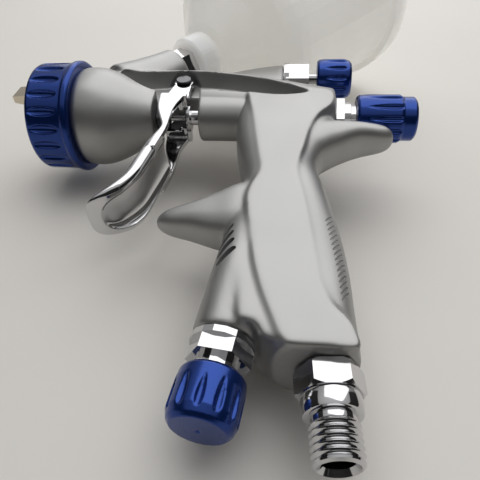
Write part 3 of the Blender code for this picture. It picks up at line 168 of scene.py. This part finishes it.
def nylon(name):
    """Milky nylon with a faint flow mottle, and a faint painted glow (emission) that stands in for light
    coming through the thin wall.
    """
    material, tree, shader = new_material(name)
    # The emission set here is a painted glow: the cup is no lamp, and the glow stands in for light
    # through its wall.
    set_inputs(shader, Roughness=0.34, Subsurface_Weight=0.85, Subsurface_Scale=0.05,
               Subsurface_Radius=(1.0, 0.9, 0.75), Transmission_Weight=0.12, IOR=1.5,
               Coat_Weight=0.2, Coat_Roughness=0.15,
               Emission_Color=(1.0, 0.97, 0.92, 1.0), Emission_Strength=0.13)
    tint(tree, noise(tree, 22.0, detail=3.0, rough=0.5),
         [(0.30, (0.76, 0.76, 0.74)), (0.72, (0.84, 0.84, 0.82))], shader.inputs["Base Color"])
    roughen(tree, shader, noise(tree, 420.0, detail=3.0, rough=0.5), depth=0.00008, strength=0.25)
    return material


MATERIALS = {
    # A fine blasted casting under a thin satin coat
    "satin_casting": metal("satin_casting", (0.385, 0.382, 0.376), rough=0.42, spread=0.025,
                           grain=2600.0, depth=0.00004, strength=0.35, metallic=0.82),
    "blue_anodised": metal("blue_anodised", (0.011, 0.044, 0.240), rough=0.27, spread=0.10,
                           grain=1800.0, depth=0.00003, strength=0.25, metallic=0.80, coat=0.25),
    "champagne": metal("champagne", (0.70, 0.62, 0.50), rough=0.26, spread=0.05,
                       grain=1500.0, depth=0.00003, strength=0.2),
    "chrome": metal("chrome", (0.61, 0.61, 0.62), rough=0.09, spread=0.02,
                    grain=900.0, depth=0.00002, strength=0.10),
    "steel": metal("steel", (0.58, 0.58, 0.58), rough=0.24, spread=0.05,
                   grain=1200.0, depth=0.00003, strength=0.25, stretch=(1.0, 6.0, 6.0)),
    # Near-black steel: painted shade for three small fittings deep in the bridge's recess, not a finish
    # they have.
    "painted_shade_steel": metal("painted_shade_steel", (0.10, 0.10, 0.105), rough=0.22, spread=0.05,
                         grain=1200.0, depth=0.00003, strength=0.2),
    "brass": metal("brass", (0.40, 0.36, 0.29), rough=0.22, spread=0.06,
                   grain=1200.0, depth=0.00003, strength=0.2),
    "seal_rubber": plain("seal_rubber", (0.035, 0.035, 0.035), rough=0.6, grain=900.0, strength=0.4),
    "seal_plastic": plain("seal_plastic", (0.80, 0.80, 0.78), rough=0.45, grain=900.0, strength=0.3),
    "filter_mesh": plain("filter_mesh", (0.70, 0.71, 0.68), rough=0.6, grain=1500.0, strength=0.8),
    "white_nylon": nylon("white_nylon"),
}


def dress(item, slot_name):
    item.data.materials.clear()
    item.data.materials.append(MATERIALS[slot_name])


def dress_nodes():
    """Material and crisp edges for the frame's solids; three small fittings get a near-black steel as
    painted shade, for the recess they sit in.
    """
    for name, item in NODES.items():
        dress(item, SLOTS[name])
        item.data.set_sharp_from_angle(angle=math.radians(32))
    # Painted shade: these fittings are darkened to stand for the shadow of the recess around them.
    for name in ("trigger_pin", "packing_nut", "valve_gland"):
        dress(NODES[name], "painted_shade_steel")


def publish(item, name, body, node, sharp=35):
    """Put a piece made in the gun's frame in a node's place; edges over sharp degrees stay crisp."""
    item.name = name
    item.data.transform(GUN @ Matrix.Scale(MM, 4))
    for face in item.data.polygons:
        face.use_smooth = True
    item.data.set_sharp_from_angle(angle=math.radians(sharp))
    dress(item, SLOTS[node])
    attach(item, body)
    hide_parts(node)


# Shapes

def curve_point(four, t):
    """Every column at t on the smooth curve between the two middle rows of four."""
    return [0.5 * (2 * b + (c - a) * t + (2 * a - 5 * b + 4 * c - d) * t ** 2
                   + (3 * b - a - 3 * c + d) * t ** 3) for a, b, c, d in zip(*four)]


def eased(rows, between):
    """Pass a smooth curve through every column of the rows."""
    last = len(rows) - 1
    result = []
    for i in range(last):
        four = (rows[max(i - 1, 0)], rows[i], rows[i + 1], rows[min(i + 2, last)])
        result += [curve_point(four, step / between) for step in range(between)]
    return result + [list(rows[-1])]


def rounded_outline(points, between=6):
    """A closed smooth outline through the points."""
    count = len(points)
    result = []
    for i in range(count):
        four = (points[i - 1], points[i], points[(i + 1) % count], points[(i + 2) % count])
        result += [tuple(curve_point(four, step / between)) for step in range(between)]
    return result


def mesh_object(name, points, faces, place=Matrix()):
    mesh = bpy.data.meshes.new(name)
    mesh.from_pydata(points, [], faces)
    mesh.transform(place)
    item = bpy.data.objects.new(name, mesh)
    bpy.context.scene.collection.objects.link(item)
    return item


def skin(name, rings, place=Matrix()):
    """A closed solid over rings of equal count, given from low to high."""
    sides = len(rings[0])
    faces = [tuple(reversed(range(sides)))]
    for j in range(len(rings) - 1):
        low = j * sides
        faces += [(low + i, low + (i + 1) % sides, low + sides + (i + 1) % sides, low + sides + i)
                  for i in range(sides)]
    last = (len(rings) - 1) * sides
    faces.append(tuple(range(last, last + sides)))
    return mesh_object(name, [p for ring in rings for p in ring], faces, place)


def oval(cx, cy, hx, hy, power, sides):
    """A ring of (x, y) points: an ellipse at power 2, squarer above it."""
    ring = []
    for i in range(sides):
        angle = math.tau * (i + 0.5) / sides
        c, s = math.cos(angle), math.sin(angle)
        ring.append((cx + hx * math.copysign(abs(c) ** (2 / power), c),
                     cy + hy * math.copysign(abs(s) ** (2 / power), s)))
    return ring


def loft(name, rows, place=Matrix(), sides=96, between=12):
    """Rows in the place's own axes: height, centre x, centre y, half x, half y, squareness."""
    rings = [[(x, y, h) for x, y in oval(cx, cy, hx, hy, p, sides)]
             for h, cx, cy, hx, hy, p in eased(rows, between)]
    return skin(name, rings, place)


def peg(name, half_length, half_width, power, sides, low, high, place):
    """A straight oval peg between two heights."""
    ring = oval(0, 0, half_length, half_width, power, sides)
    return skin(name, [[(x, y, h) for x, y in ring] for h in (low, high)], place)


def revolve(name, points, place=Matrix(), sides=128):
    """Turn (radius, height) points, given from the lowest to the highest, both ends on the axis."""
    tip = 0.001           # radius that stands in for a point on the axis
    rings = [[(max(r, tip) * math.cos(math.tau * i / sides),
               max(r, tip) * math.sin(math.tau * i / sides), h) for i in range(sides)]
             for r, h in points]
    return skin(name, rings, place)


def rod(name, radius, low, high, place=ALONG, sides=64):
    """A round rod between two heights, along the barrel unless placed otherwise."""
    return revolve(name, [(0, low), (radius, low), (radius, high), (0, high)], place, sides)


def plate(name, outline, low, high, place=Matrix()):
    """Extrude an (x, z) outline, counter-clockwise with X right and Z up, between two y."""
    count = len(outline)
    points = [(x, y, z) for y in (low, high) for x, z in outline]
    faces = [tuple(range(count)), tuple(reversed(range(count, 2 * count)))]
    faces += [(count + i, count + (i + 1) % count, (i + 1) % count, i) for i in range(count)]
    return mesh_object(name, points, faces, place)


def apply_all(item):
    """Keep what the modifiers make as the piece's own mesh."""
    graph = bpy.context.evaluated_depsgraph_get()
    mesh = bpy.data.meshes.new_from_object(item.evaluated_get(graph))
    old = item.data
    item.modifiers.clear()
    item.data = mesh
    bpy.data.meshes.remove(old)


def combine(item, others, operation):
    """Join, cut or intersect with the others, which are used up."""
    for other in others:
        modifier = item.modifiers.new(other.name, "BOOLEAN")
        modifier.object = other
        modifier.operation = operation
        modifier.solver = "MANIFOLD"
    apply_all(item)
    for other in others:
        bpy.data.objects.remove(other)


def soften(item, voxel, rounds):
    """Grow a solid's parts into one skin and round its edges."""
    remesh = item.modifiers.new("Remesh", "REMESH")
    remesh.mode = "VOXEL"
    remesh.voxel_size = voxel
    smooth = item.modifiers.new("Smooth", "SMOOTH")
    smooth.factor = 0.5
    smooth.iterations = rounds
    apply_all(item)


# The body casting: its outer forms, softened together, then cut

BELL_REAR = -33.4
SPIGOT_R = 19.6           # of the spigot inside the ring
GRIP_HALF = 12.1          # half the handle's thickness
WEB_HALF = 4.6            # half the wall left between the bridge's two recesses
INLET_FACE = 24.87        # height of the handle's foot above the inlet's mouth


def bell():
    """The flare behind the ring and its spigot inside it."""
    flare = eased([(11.8, BELL_REAR), (11.9, -31.5), (13.4, -28), (15.8, -23), (18.5, -18),
                   (20.6, -13), (21.75, -8), (21.8, -3)], 8)
    return revolve("bell", [(0, BELL_REAR)] + [tuple(p) for p in flare]
                   + [(21.3, -FIT), (SPIGOT_R, -FIT), (SPIGOT_R, 10), (0, 10)], ALONG)


def spine():
    """The bridge from the bell over the barrel to the rear."""
    return loft("spine", [
        (-112.5, 0, 1.4, 11.2, 12.0, 2.5), (-104, 0, 3.0, 11.8, 12.8, 2.4),
        (-90, 0, 6.0, 12.6, 14.2, 2.3), (-70, 0, 10.0, 13.2, 16.8, 2.2),
        (-50, 0, 12.0, 14.0, 18.0, 2.1), (-30, 0, 12.0, 14.0, 18.0, 2.1),
        (-14, 0, 10.6, 14.6, 18.2, 2.1), (-0.4, 0, 9.0, 14.4, 17.4, 2.1)], ALONG)


def handle():
    """The grip, waisted behind the hook and widest under the bridge."""
    return loft("handle", [
        (-125.5, -102.6, 0, 12.2, GRIP_HALF, 2.9), (-118, -102.2, 0, 12.3, GRIP_HALF, 2.9),
        (-108, -99.8, 0, 14.2, GRIP_HALF, 2.9), (-96, -97.2, 0, 16.3, GRIP_HALF, 2.9),
        (-82, -94.5, 0, 17.6, GRIP_HALF, 2.8), (-68, -93.2, 0, 16.6, GRIP_HALF, 2.7),
        (-54, -92.0, 0, 15.0, 12.0, 2.6), (-42, -89.6, 0, 14.6, 12.0, 2.6),
        (-28, -90.5, 0, 18.2, 12.0, 2.6), (-14, -91.5, 0, 20.8, 12.0, 2.6),
        (4, -92.0, 0, 20.5, 11.4, 2.6)])


def nose():
    """The handle's rounded front between the hook and the barrel."""
    return loft("nose", [
        (-66, -83.0, 0, 7.0, 12.0, 2.2), (-54, -85.4, 0, 8.6, GRIP_HALF, 2.1),
        (-42, -84.0, 0, 9.2, GRIP_HALF, 2.1), (-28, -82.0, 0, 9.9, GRIP_HALF, 2.1),
        (-14, -80.0, 0, 9.4, GRIP_HALF, 2.1), (0, -78.4, 0, 7.4, GRIP_HALF, 2.1),
        (5, -78.0, 0, 6.6, 12.0, 2.1)])


def column():
    """The regulator's column, which leans against the handle."""
    return loft("column", [
        (25.7, 0, 0, 9.4, 9.8, 2.1), (37.7, 0, 0, 9.4, 10.7, 2.2), (55.7, 0, 0, 9.4, 11.6, 2.2),
        (72, 0, 0, 8.8, 11.2, 2.2), (83.7, 0, 0, 7.5, 10.4, 2.2)], REGULATOR)


def web():
    """The wall that joins the column to the handle."""
    return plate("web", [(-99, -124.0), (-93.0, -124.0), (-88.6, -122.4), (-86.4, -118.4),
                         (-81.5, -117.0), (-80.4, -100.0), (-81.8, -78.0), (-99, -78.0)], -11.3, 11.3)


def horn():
    """The rear horn that rests on the hand."""
    return loft("horn", [
        (-136, 0, -16.0, 2.2, 1.6, 2.0), (-134.4, 0, -16.0, 4.6, 2.9, 2.1),
        (-131, 0, -16.1, 6.4, 4.0, 2.2), (-122, 0, -16.8, 8.2, 5.0, 2.4),
        (-113, 0, -19.4, 9.2, 8.2, 2.4), (-107.5, 0, -21.6, 10.0, 10.6, 2.5),
        (-102, 0, -24.0, 10.8, 12.3, 2.6)], ALONG)


def hook():
    """The finger hook below the trigger."""
    return loft("hook", [
        (-85.7, 0, -66, 11.2, 12.9, 2.7), (-76.7, 0, -66.8, 10.8, 12.6, 2.7),
        (-68.7, 0, -68.4, 9.0, 10.2, 2.4), (-59.7, 0, -69.4, 7.2, 6.4, 2.2),
        (-52.7, 0, -70, 5.4, 4.4, 2.1), (-49.2, 0, -70.3, 3.4, 2.8, 2.0),
        (-47.7, 0, -70.4, 1.6, 1.4, 2.0)], ALONG)


def fan_boss():
    """The swelling on the bridge that holds the fan valve."""
    return loft("fan_boss", [
        (-89, 0, 29.6, 7.6, 14.6, 2.3), (-76, 0, 29.0, 6.7, 12.8, 2.3), (-62, 0, 28.2, 5.2, 9.4, 2.2),
        (-48, 0, 26.0, 3.6, 5.0, 2.1)], ALONG)


def cup_boss():
    """The cup's leaning seat on top of the bridge."""
    return revolve("cup_boss", [(0, -34), (15.5, -34), (13.2, -20), (11.8, -8), (11.4, 0), (0, 0)],
                   CUP_NECK)


def panel():
    """The raised flat sides that run from the barrel's root to the handle's foot."""
    outline = rounded_outline([
        (-113.0, -125.3), (-104, -125.3), (-96, -125.3), (-93.4, -123.6), (-90.6, -117), (-86.8, -106.5),
        (-84.0, -95.5), (-81.8, -82), (-80.4, -75), (-79.8, -68), (-80.8, -61.5), (-82.8, -56.1),
        (-83.5, -51.4), (-81.8, -41.5), (-79.8, -28), (-77.5, -14.4), (-75.2, -4),
        (-74.6, 3), (-79, 6), (-95, 6), (-108, 5), (-111.8, 0), (-110.5, -8), (-105, -16), (-101.5, -26),
        (-99.4, -38), (-97.4, -48), (-97.0, -56), (-99.2, -68), (-101.2, -82), (-102.9, -96),
        (-104.2, -105), (-107.0, -111.6), (-110.8, -115.8), (-112.8, -120)])
    return plate("panel", outline, -12.4, 12.4)


def throat():
    """The open space under the bridge where the trigger swings."""
    return plate("throat", [(-53, -60), (-33, -60), (-33, 9.5), (-53, 9.5)], -40, 40)


def recesses():
    """On each side of the bridge a long lens with sloping walls, and a pocket round the ear."""
    lens = rounded_outline([(-102, 2.0), (-90, -0.9), (-74, 1.6), (-60, 3.0), (-46, 3.2), (-33, 3.0),
                            (-22, 7.5), (-13, 15.3), (-20, 19.4), (-31, 22.0), (-46, 22.6),
                            (-62, 21.2), (-78, 17.0), (-92, 10.0)], 5)
    pocket = rounded_outline([(-54.5, 9), (-52, 3.6), (-43, 2.6), (-33, 3.6), (-29.5, 9),
                              (-35, 18), (-38.5, 21.2), (-43, 22.3), (-47.5, 21.2), (-51.5, 17)], 4)
    middle_x, middle_z = -46, 4.5
    length_share, height_share = 0.86, 0.76
    floor = [(middle_x + length_share * (x - middle_x), middle_z + height_share * (z - middle_z))
             for x, z in lens]
    lip, outside = 13.6, 30.0
    made = []
    for side in (1, -1):
        low, high = (WEB_HALF, outside) if side > 0 else (-outside, -WEB_HALF)
        made.append(plate("pocket", pocket, low, high))
        steps = [(floor, WEB_HALF), (lens, lip), (lens, outside)]
        if side < 0:
            steps = [(outline, -y) for outline, y in reversed(steps)]
        made.append(skin("recess", [[(x, y, z) for x, z in reversed(outline)] for outline, y in steps]))
    return made


def barrel():
    """The round barrel that shows in the throat."""
    return revolve("barrel", [(0, -80), (10.4, -80), (10.4, -53.8), (9.6, -53), (0, -53)], ALONG)


def cast_body():
    """The outer forms grown together, with the panel's edges kept crisper and the barrel's crispest."""
    body = bell()
    combine(body, [spine(), handle(), nose(), column(), web(), horn(), hook(), fan_boss(), cup_boss()],
            "UNION")
    soften(body, voxel=0.55, rounds=14)
    combine(body, [panel()], "UNION")
    soften(body, voxel=0.5, rounds=24)
    combine(body, [throat()] + recesses(), "DIFFERENCE")
    combine(body, [barrel()], "UNION")
    soften(body, voxel=0.42, rounds=5)
    return body


def on_side(side, x, spread, z, turn, slant):
    """A place on the gun's left (1) or right (-1) whose Z axis points outward."""
    return (Matrix.Translation((x, side * spread, z))
            @ Matrix.Rotation(math.radians(turn * side), 4, "Z")
            @ Matrix.Rotation(math.radians(slant), 4, "Y")
            @ Matrix.Rotation(math.radians(-90 * side), 4, "X"))


def vents():
    """Four short slanted slots on each side, one under another below the finger hook."""
    return [peg("slot", half_length=4.2, half_width=1.1, power=3.0, sides=24, low=-2.0, high=6.0,
                place=on_side(side, -74.0 - 0.9 * k, 8.2 + 0.25 * k, -82.6 - 3.9 * k,
                              turn=-42, slant=44))
            for side in (1, -1) for k in range(4)]


def nicks():
    """Fine slanted nicks down both rear corners of the grip, which curve with it."""
    made = []
    for side in (1, -1):
        for k in range(16):
            drop = 2.1 * k
            x = -107.3 - 0.172 * drop + 0.0019 * drop ** 2
            place = on_side(side, x, 9.4, -76.0 - drop, turn=37, slant=52)
            made.append(peg("nick", half_length=2.8, half_width=0.40, power=2.0, sides=20,
                            low=-0.40, high=3.0, place=place))
    return made


def bores():
    """The seats and passages of what the casting holds."""
    low, seat, airway = INLET_FACE - 2, INLET_FACE + 11, INLET_FACE + 122
    return [
        revolve("head_bore", [(0, -35), (4.6, -35), (4.6, -4), (6.3, -4), (6.3, 3), (15.5, 3),
                              (15.5, 12), (0, 12)], ALONG, 64),
        rod("valve_bore", 6.0, -120, -51),
        rod("fan_bore", 4.0, -91, -67, FAN_AXIS),
        revolve("cup_bore", [(0, -58.4), (3.8, -58.4), (3.8, -12), (6.6, -12), (6.6, 2), (0, 2)],
                CUP_NECK, 64),
        revolve("inlet_bore", [(0, low), (6.5, low), (6.5, seat), (3.6, seat), (3.6, airway),
                               (0, airway)], INLET, 64),
        rod("regulator_bore", 4.5, 23.7, 49.7, REGULATOR),
        rod("pin_bore", PIN_BORE, -20, 20, AT_PIN @ ACROSS),
    ]


def add_casting():
    casting = cast_body()
    foot_face = rod("foot_face", 40, INLET_FACE - 30, INLET_FACE, INLET)
    combine(casting, [foot_face] + vents() + nicks() + bores(), "DIFFERENCE")
    publish(casting, "casting", "gun", "gun_body", sharp=50)


# Fluted, threaded and pressed pieces

FLUTE_STEPS = 14          # from one end of a groove to the other
FLUTE_TAPER = 0.38        # how much a groove's width changes from its middle to an end


def flute_cutters(count, radius, low, high, width, depth, place, wide_end=-1):
    """A ring of grooves; wide_end is 1 where the top is the wider end, -1 the bottom, 0 neither."""
    made = []
    for k in range(count):
        rings = []
        for j in range(1, FLUTE_STEPS):
            height = -math.cos(math.pi * j / FLUTE_STEPS)
            taper = 1 - FLUTE_TAPER + FLUTE_TAPER * height * wide_end
            swell = math.sin(math.pi * j / FLUTE_STEPS) * taper
            rings.append([(radius + x, y, (low + high) / 2 + (high - low) / 2 * height)
                          for x, y in oval(0, 0, depth * swell, width / 2 * swell, 2.0, sides=20)])
        turn = Matrix.Rotation(math.tau * k / count, 4, "Z")
        made.append(skin("flute", rings, place @ turn))
    return made


def fluted(name, profile, cutters, hollow, place):
    """A turned piece with softened flutes and a clean bore."""
    piece = revolve(name, profile, place)
    combine(piece, cutters, "DIFFERENCE")
    soften(piece, voxel=0.26, rounds=5)
    combine(piece, [revolve("hollow", hollow, place)], "DIFFERENCE")
    return piece


def knob_profile(radius, low, high):
    """A knob with a rounded end below and a softly broken edge above."""
    return [(0, low), (radius - 1.9, low), (radius - 0.8, low + 1.1), (radius, low + 3.4),
            (radius, high - 4), (radius - 0.3, high - 1.1), (radius - 1.1, high), (0, high)]


def add_ring():
    """The air cap's ring: a rolled rear flange and long flutes that end short of the front."""
    bore_r = SPIGOT_R + FIT
    ring = fluted("ring", [(0, 0), (23.8, 0), (24.7, 0.9), (24.7, 2.6), (23.8, 3.6), (23.6, 18.0),
                           (23.1, 19.1), (22.0, 19.6), (0, 19.6)],
                  flute_cutters(20, radius=24.0, low=5.0, high=18.4, width=6.4, depth=2.9,
                                place=ALONG, wide_end=0),
                  [(0, -1), (bore_r, -1), (bore_r, 17.6), (16.2, 17.6), (16.2, 21), (0, 21)], ALONG)
    publish(ring, "air_cap_ring_fine", "ring", "air_cap_ring")


def add_fan_knob():
    """The smallest knob, on the bridge's rear."""
    knob = fluted("fan", knob_profile(9.4, -121.7, -105.2),
                  flute_cutters(12, radius=9.9, low=-120.1, high=-106.7, width=3.4, depth=2.1,
                                place=FAN_AXIS),
                  [(0, -113.2), (2.6, -113.2), (2.6, -104), (0, -104)], FAN_AXIS)
    publish(knob, "fan_knob_fine", "fan_control", "fan_knob")


def add_regulator_knob():
    """As the fan knob, with a small dimple in its end."""
    dimple = revolve("dimple", [(0, -1), (0.9, -1), (0.5, 0.4), (0, 0.6)], REGULATOR)
    flutes = flute_cutters(12, radius=10.1, low=1.6, high=13.7, width=3.5, depth=2.1, place=REGULATOR)
    knob = fluted("regulator", knob_profile(9.6, 0, 15.2), flutes + [dimple],
                  [(0, 7.2), (3.1, 7.2), (3.1, 16), (0, 16)], REGULATOR)
    publish(knob, "regulator_knob_fine", "regulator", "regulator_knob")


def add_fluid_knob():
    """The longest knob, with a narrower rear end."""
    knob = fluted("fluid", [(0, -146.9), (8.3, -146.9), (9.4, -145.8), (9.4, -141.3), (10.4, -139.7),
                            (10.4, -126.7), (10.1, -122.8), (9.3, -121.7), (0, -121.7)],
                  flute_cutters(12, radius=10.9, low=-142.3, high=-123.2, width=3.8, depth=2.4,
                                place=ALONG),
                  [(0, -143.9), (5.0, -143.9), (5.0, -120), (0, -120)], ALONG)
    publish(knob, "fluid_knob_fine", "fluid_control", "fluid_knob")


def thread_profile(radius, depth, pitch, start, turns):
    """Rolled rings as (radius, height) points, from one root to another."""
    steps = 10
    return [(radius - depth * math.cos(math.tau * k / steps), start + pitch * k / steps)
            for k in range(turns * steps + 1)]


def add_inlet():
    """The hose connection: a chamfered hexagon, a collar and a rolled thread."""
    across_flats = 16.2
    corner = across_flats / math.sqrt(3)
    fitting = skin("inlet", [[(corner * math.cos(math.radians(60 * i)),
                               corner * math.sin(math.radians(60 * i)), h) for i in range(6)]
                             for h in (17.5, INLET_FACE - FIT)], INLET)
    chamfer = revolve("chamfer", [(0, 17.4), (8.2, 17.4), (9.4, 18.6), (9.4, 23.8), (8.7, 24.6),
                                  (0, 24.6)], INLET)
    combine(fitting, [chamfer], "INTERSECT")
    thread = thread_profile(radius=6.18, depth=0.36, pitch=1.72, start=1.7, turns=5)
    rim = 0.02            # keeps the end within the frame's solid
    shank = revolve("shank", [(0, rim), (5.55, rim), (6.2, 0.5), (6.4, 1.0)] + thread + [
        (5.9, 10.7), (5.9, 12.1), (7.0, 12.1), (7.6, 12.4), (7.9, 13.0), (7.9, 16.9), (7.6, 17.5),
        (7.2, 17.8), (6.2, 17.8), (6.2, 33.57), (0, 33.57)], INLET)
    combine(fitting, [shank], "UNION")
    mouth = revolve("mouth", [(0, -1), (5.2, -1), (5.2, 0), (4.2, 1.6), (4.2, 35), (0, 35)], INLET)
    combine(fitting, [mouth], "DIFFERENCE")
    publish(fitting, "air_inlet_fine", "gun", "air_inlet", sharp=30)


# The trigger, in millimetres from its pin: a pressed fork of ears, steps, arms and blade

EAR_R = 4.6
EAR_FRONT = 7.4
EAR_SIDES = (6.1, 8.7)    # inner and outer face, across the gun
ARM_SIDES = (9.3, 11.9)
STEP_TOP = 1.2 - PIN.z    # top of the step from the ears out to the arms
STEP_FOOT = STEP_TOP - 3


def both_sides(name, outline, inner, outer):
    """The same plate on the left and the right, between two distances from the middle."""
    return [plate(name, outline, inner, outer, AT_PIN), plate(name, outline, -outer, -inner, AT_PIN)]


def trigger_blade():
    """The finger's part, which curls forward at its tip."""
    return loft("blade", [
        (-86.4, 19.6, 0, 1.6, 6.4, 2.0), (-85.6, 17.6, 0, 3.2, 8.6, 2.2),
        (-83.6, 14.2, 0, 3.9, 10.2, 2.5), (-79.4, 9.8, 0, 3.9, 11.4, 2.8),
        (-73.0, 6.6, 0, 3.6, 11.7, 3.0), (-64.0, 5.0, 0, 3.6, 11.7, 3.0),
        (-54.0, 3.4, 0, 3.3, 11.7, 3.0), (-47.0, 2.0, 0, 2.7, 11.6, 2.8),
        (-44.4, 1.6, 0, 1.5, 11.2, 2.4)], AT_PIN, between=8)


def blade_hollow():
    """The blade is a pressed channel, open to the rear."""
    return loft("hollow", [
        (-87.2, 15.0, 0, 1.2, 4.0, 2.0), (-84.2, 10.6, 0, 4.2, 7.2, 2.2),
        (-79.4, 5.4, 0, 4.8, 8.8, 2.3), (-72.0, 1.8, 0, 4.6, 9.2, 2.3),
        (-62.0, -0.4, 0, 4.6, 9.2, 2.3), (-52.0, -2.2, 0, 4.6, 9.1, 2.3),
        (-42.0, -3.8, 0, 4.6, 9.0, 2.3)], AT_PIN, between=8)


def trigger_fork():
    """Ears round the pin, arms down to the blade and the flat steps between them."""
    ear = ([(EAR_R * math.cos(math.radians(a)), EAR_R * math.sin(math.radians(a)))
            for a in range(-30, 211, 10)] + [(-EAR_R, STEP_FOOT), (EAR_FRONT, STEP_FOOT)])
    arm = eased([(3.9, -57.0), (3.0, -50.0), (1.8, -45.0), (1.6, -41.0), (3.4, -36.0), (5.8, -29.0),
                 (6.9, -23.0), (EAR_FRONT, STEP_TOP)], 6)
    arm += [(-3.6, STEP_TOP), (-3.9, STEP_TOP - 1.0), (-1.6, -24.7)]
    arm += eased([(-0.9, -29.0), (-0.7, -34.0), (-0.9, -41.0), (-0.5, -47.0), (0.9, -57.0)], 6)
    step = [(-EAR_R, STEP_FOOT), (EAR_FRONT, STEP_FOOT), (EAR_FRONT, STEP_TOP), (-EAR_R, STEP_TOP)]
    return (both_sides("ear", ear, *EAR_SIDES) + both_sides("arm", arm, *ARM_SIDES)
            + both_sides("step", step, EAR_SIDES[0], ARM_SIDES[1]))


def push_bars():
    """Two short bars inside the fork that push the needle's shoulder."""
    place = Matrix.Translation((-44.3, 0, 0)) @ ACROSS
    return [rod("push", 2.0, low, high, place, sides=40) for low, high in ((4.6, 10.3), (-10.3, -4.6))]


def add_trigger():
    """The whole fork in one softened skin, with a clean hole for its pin."""
    trigger = trigger_blade()
    combine(trigger, trigger_fork() + push_bars(), "UNION")
    combine(trigger, [blade_hollow()], "DIFFERENCE")
    soften(trigger, voxel=0.28, rounds=8)
    combine(trigger, [rod("pin", PIN_BORE, -20, 20, AT_PIN @ ACROSS, sides=48)], "DIFFERENCE")
    publish(trigger, "trigger_fine", "trigger", "trigger")


# Table, light and camera, in metres of the scene

def add_table():
    """A plain pale table top."""
    bpy.ops.mesh.primitive_plane_add(size=6.0)
    floor = bpy.context.object
    floor.name = "floor"
    material, tree, shader = new_material("table_top")
    set_inputs(shader, Roughness=0.62)
    tint(tree, noise(tree, 3.0, detail=5.0, rough=0.55),
         [(0.3, (0.68, 0.655, 0.615)), (0.7, (0.72, 0.695, 0.655))], shader.inputs["Base Color"])
    roughen(tree, shader, noise(tree, 300.0, detail=5.0, rough=0.6), depth=0.0002, strength=0.15)
    floor.data.materials.append(material)


def add_world():
    """A soft room: grey near the horizon and brighter overhead."""
    world = bpy.data.worlds.new("studio")
    bpy.context.scene.world = world
    world.use_nodes = True
    tree = world.node_tree
    back = tree.nodes["Background"]
    back.inputs["Strength"].default_value = 1.2
    coords = tree.nodes.new("ShaderNodeTexCoord")
    split = tree.nodes.new("ShaderNodeSeparateXYZ")
    tree.links.new(coords.outputs["Generated"], split.inputs["Vector"])
    tint(tree, split.outputs["Z"],
         [(0.0, grey(0.18)), (0.30, grey(0.22)), (0.62, grey(0.34)), (0.95, grey(0.50))],
         back.inputs["Color"])


def add_card(name, centre, width, height, heading):
    """A dark upright card that the camera sees only in reflections."""
    bpy.ops.mesh.primitive_plane_add(size=1.0)
    card = bpy.context.object
    card.name = name
    card.scale = (width, height, 1.0)
    card.rotation_euler = (math.radians(90), 0.0, math.radians(heading))
    card.location = centre
    material, tree, shader = new_material(name)
    set_inputs(shader, Base_Color=(*grey(0.02), 1.0), Roughness=0.9)
    card.data.materials.append(material)
    card.visible_camera = False


def add_lamp(name, place, width, height, power):
    """A rectangular area lamp aimed at the gun."""
    lamp = bpy.data.lights.new(name, "AREA")
    lamp.shape = "RECTANGLE"
    lamp.size = width
    lamp.size_y = height
    lamp.energy = power
    item = bpy.data.objects.new(name, lamp)
    item.location = place
    item.rotation_mode = "QUATERNION"
    target = Vector((0.0, 0.0, 0.03))
    item.rotation_quaternion = (target - Vector(place)).to_track_quat("-Z", "Y")
    bpy.context.scene.collection.objects.link(item)


def add_camera():
    """The photograph's view: a short lens close above the gun, from its handle's end."""
    axes = Matrix(((-0.99395712, 0.0330905, -0.10466264),
                   (-0.05088569, 0.70593939, 0.70644194),
                   (0.097262, 0.70749883, -0.69998965)))
    place = Vector((-95.48, 116.67, -193.22)) * MM
    data = bpy.data.cameras.new("camera")
    data.sensor_width = 36.0
    data.lens = 36.57
    data.clip_start = 0.005
    camera = bpy.data.objects.new("camera", data)
    bpy.context.scene.collection.objects.link(camera)
    camera.matrix_world = GUN @ Matrix.Translation(place) @ axes.to_4x4()
    bpy.context.scene.camera = camera


dress_nodes()
add_casting()
add_ring()
add_fan_knob()
add_regulator_knob()
add_fluid_knob()
add_inlet()
add_trigger()
add_table()
add_world()
add_card("near_card", (0.0, -1.0, 0.45), 2.4, 0.9, heading=0.0)
add_card("left_card", (-1.1, -0.1, 0.40), 1.6, 0.8, heading=90.0)
add_card("right_card", (1.1, -0.1, 0.40), 1.6, 0.8, heading=90.0)
add_lamp("softbox", (0.14, 0.42, 0.90), 1.4, 1.5, power=8.5)
add_lamp("window", (-0.10, 1.35, 0.60), 1.4, 0.9, power=2.8)
add_camera()
bpy.context.scene.view_settings.view_transform = "Standard"
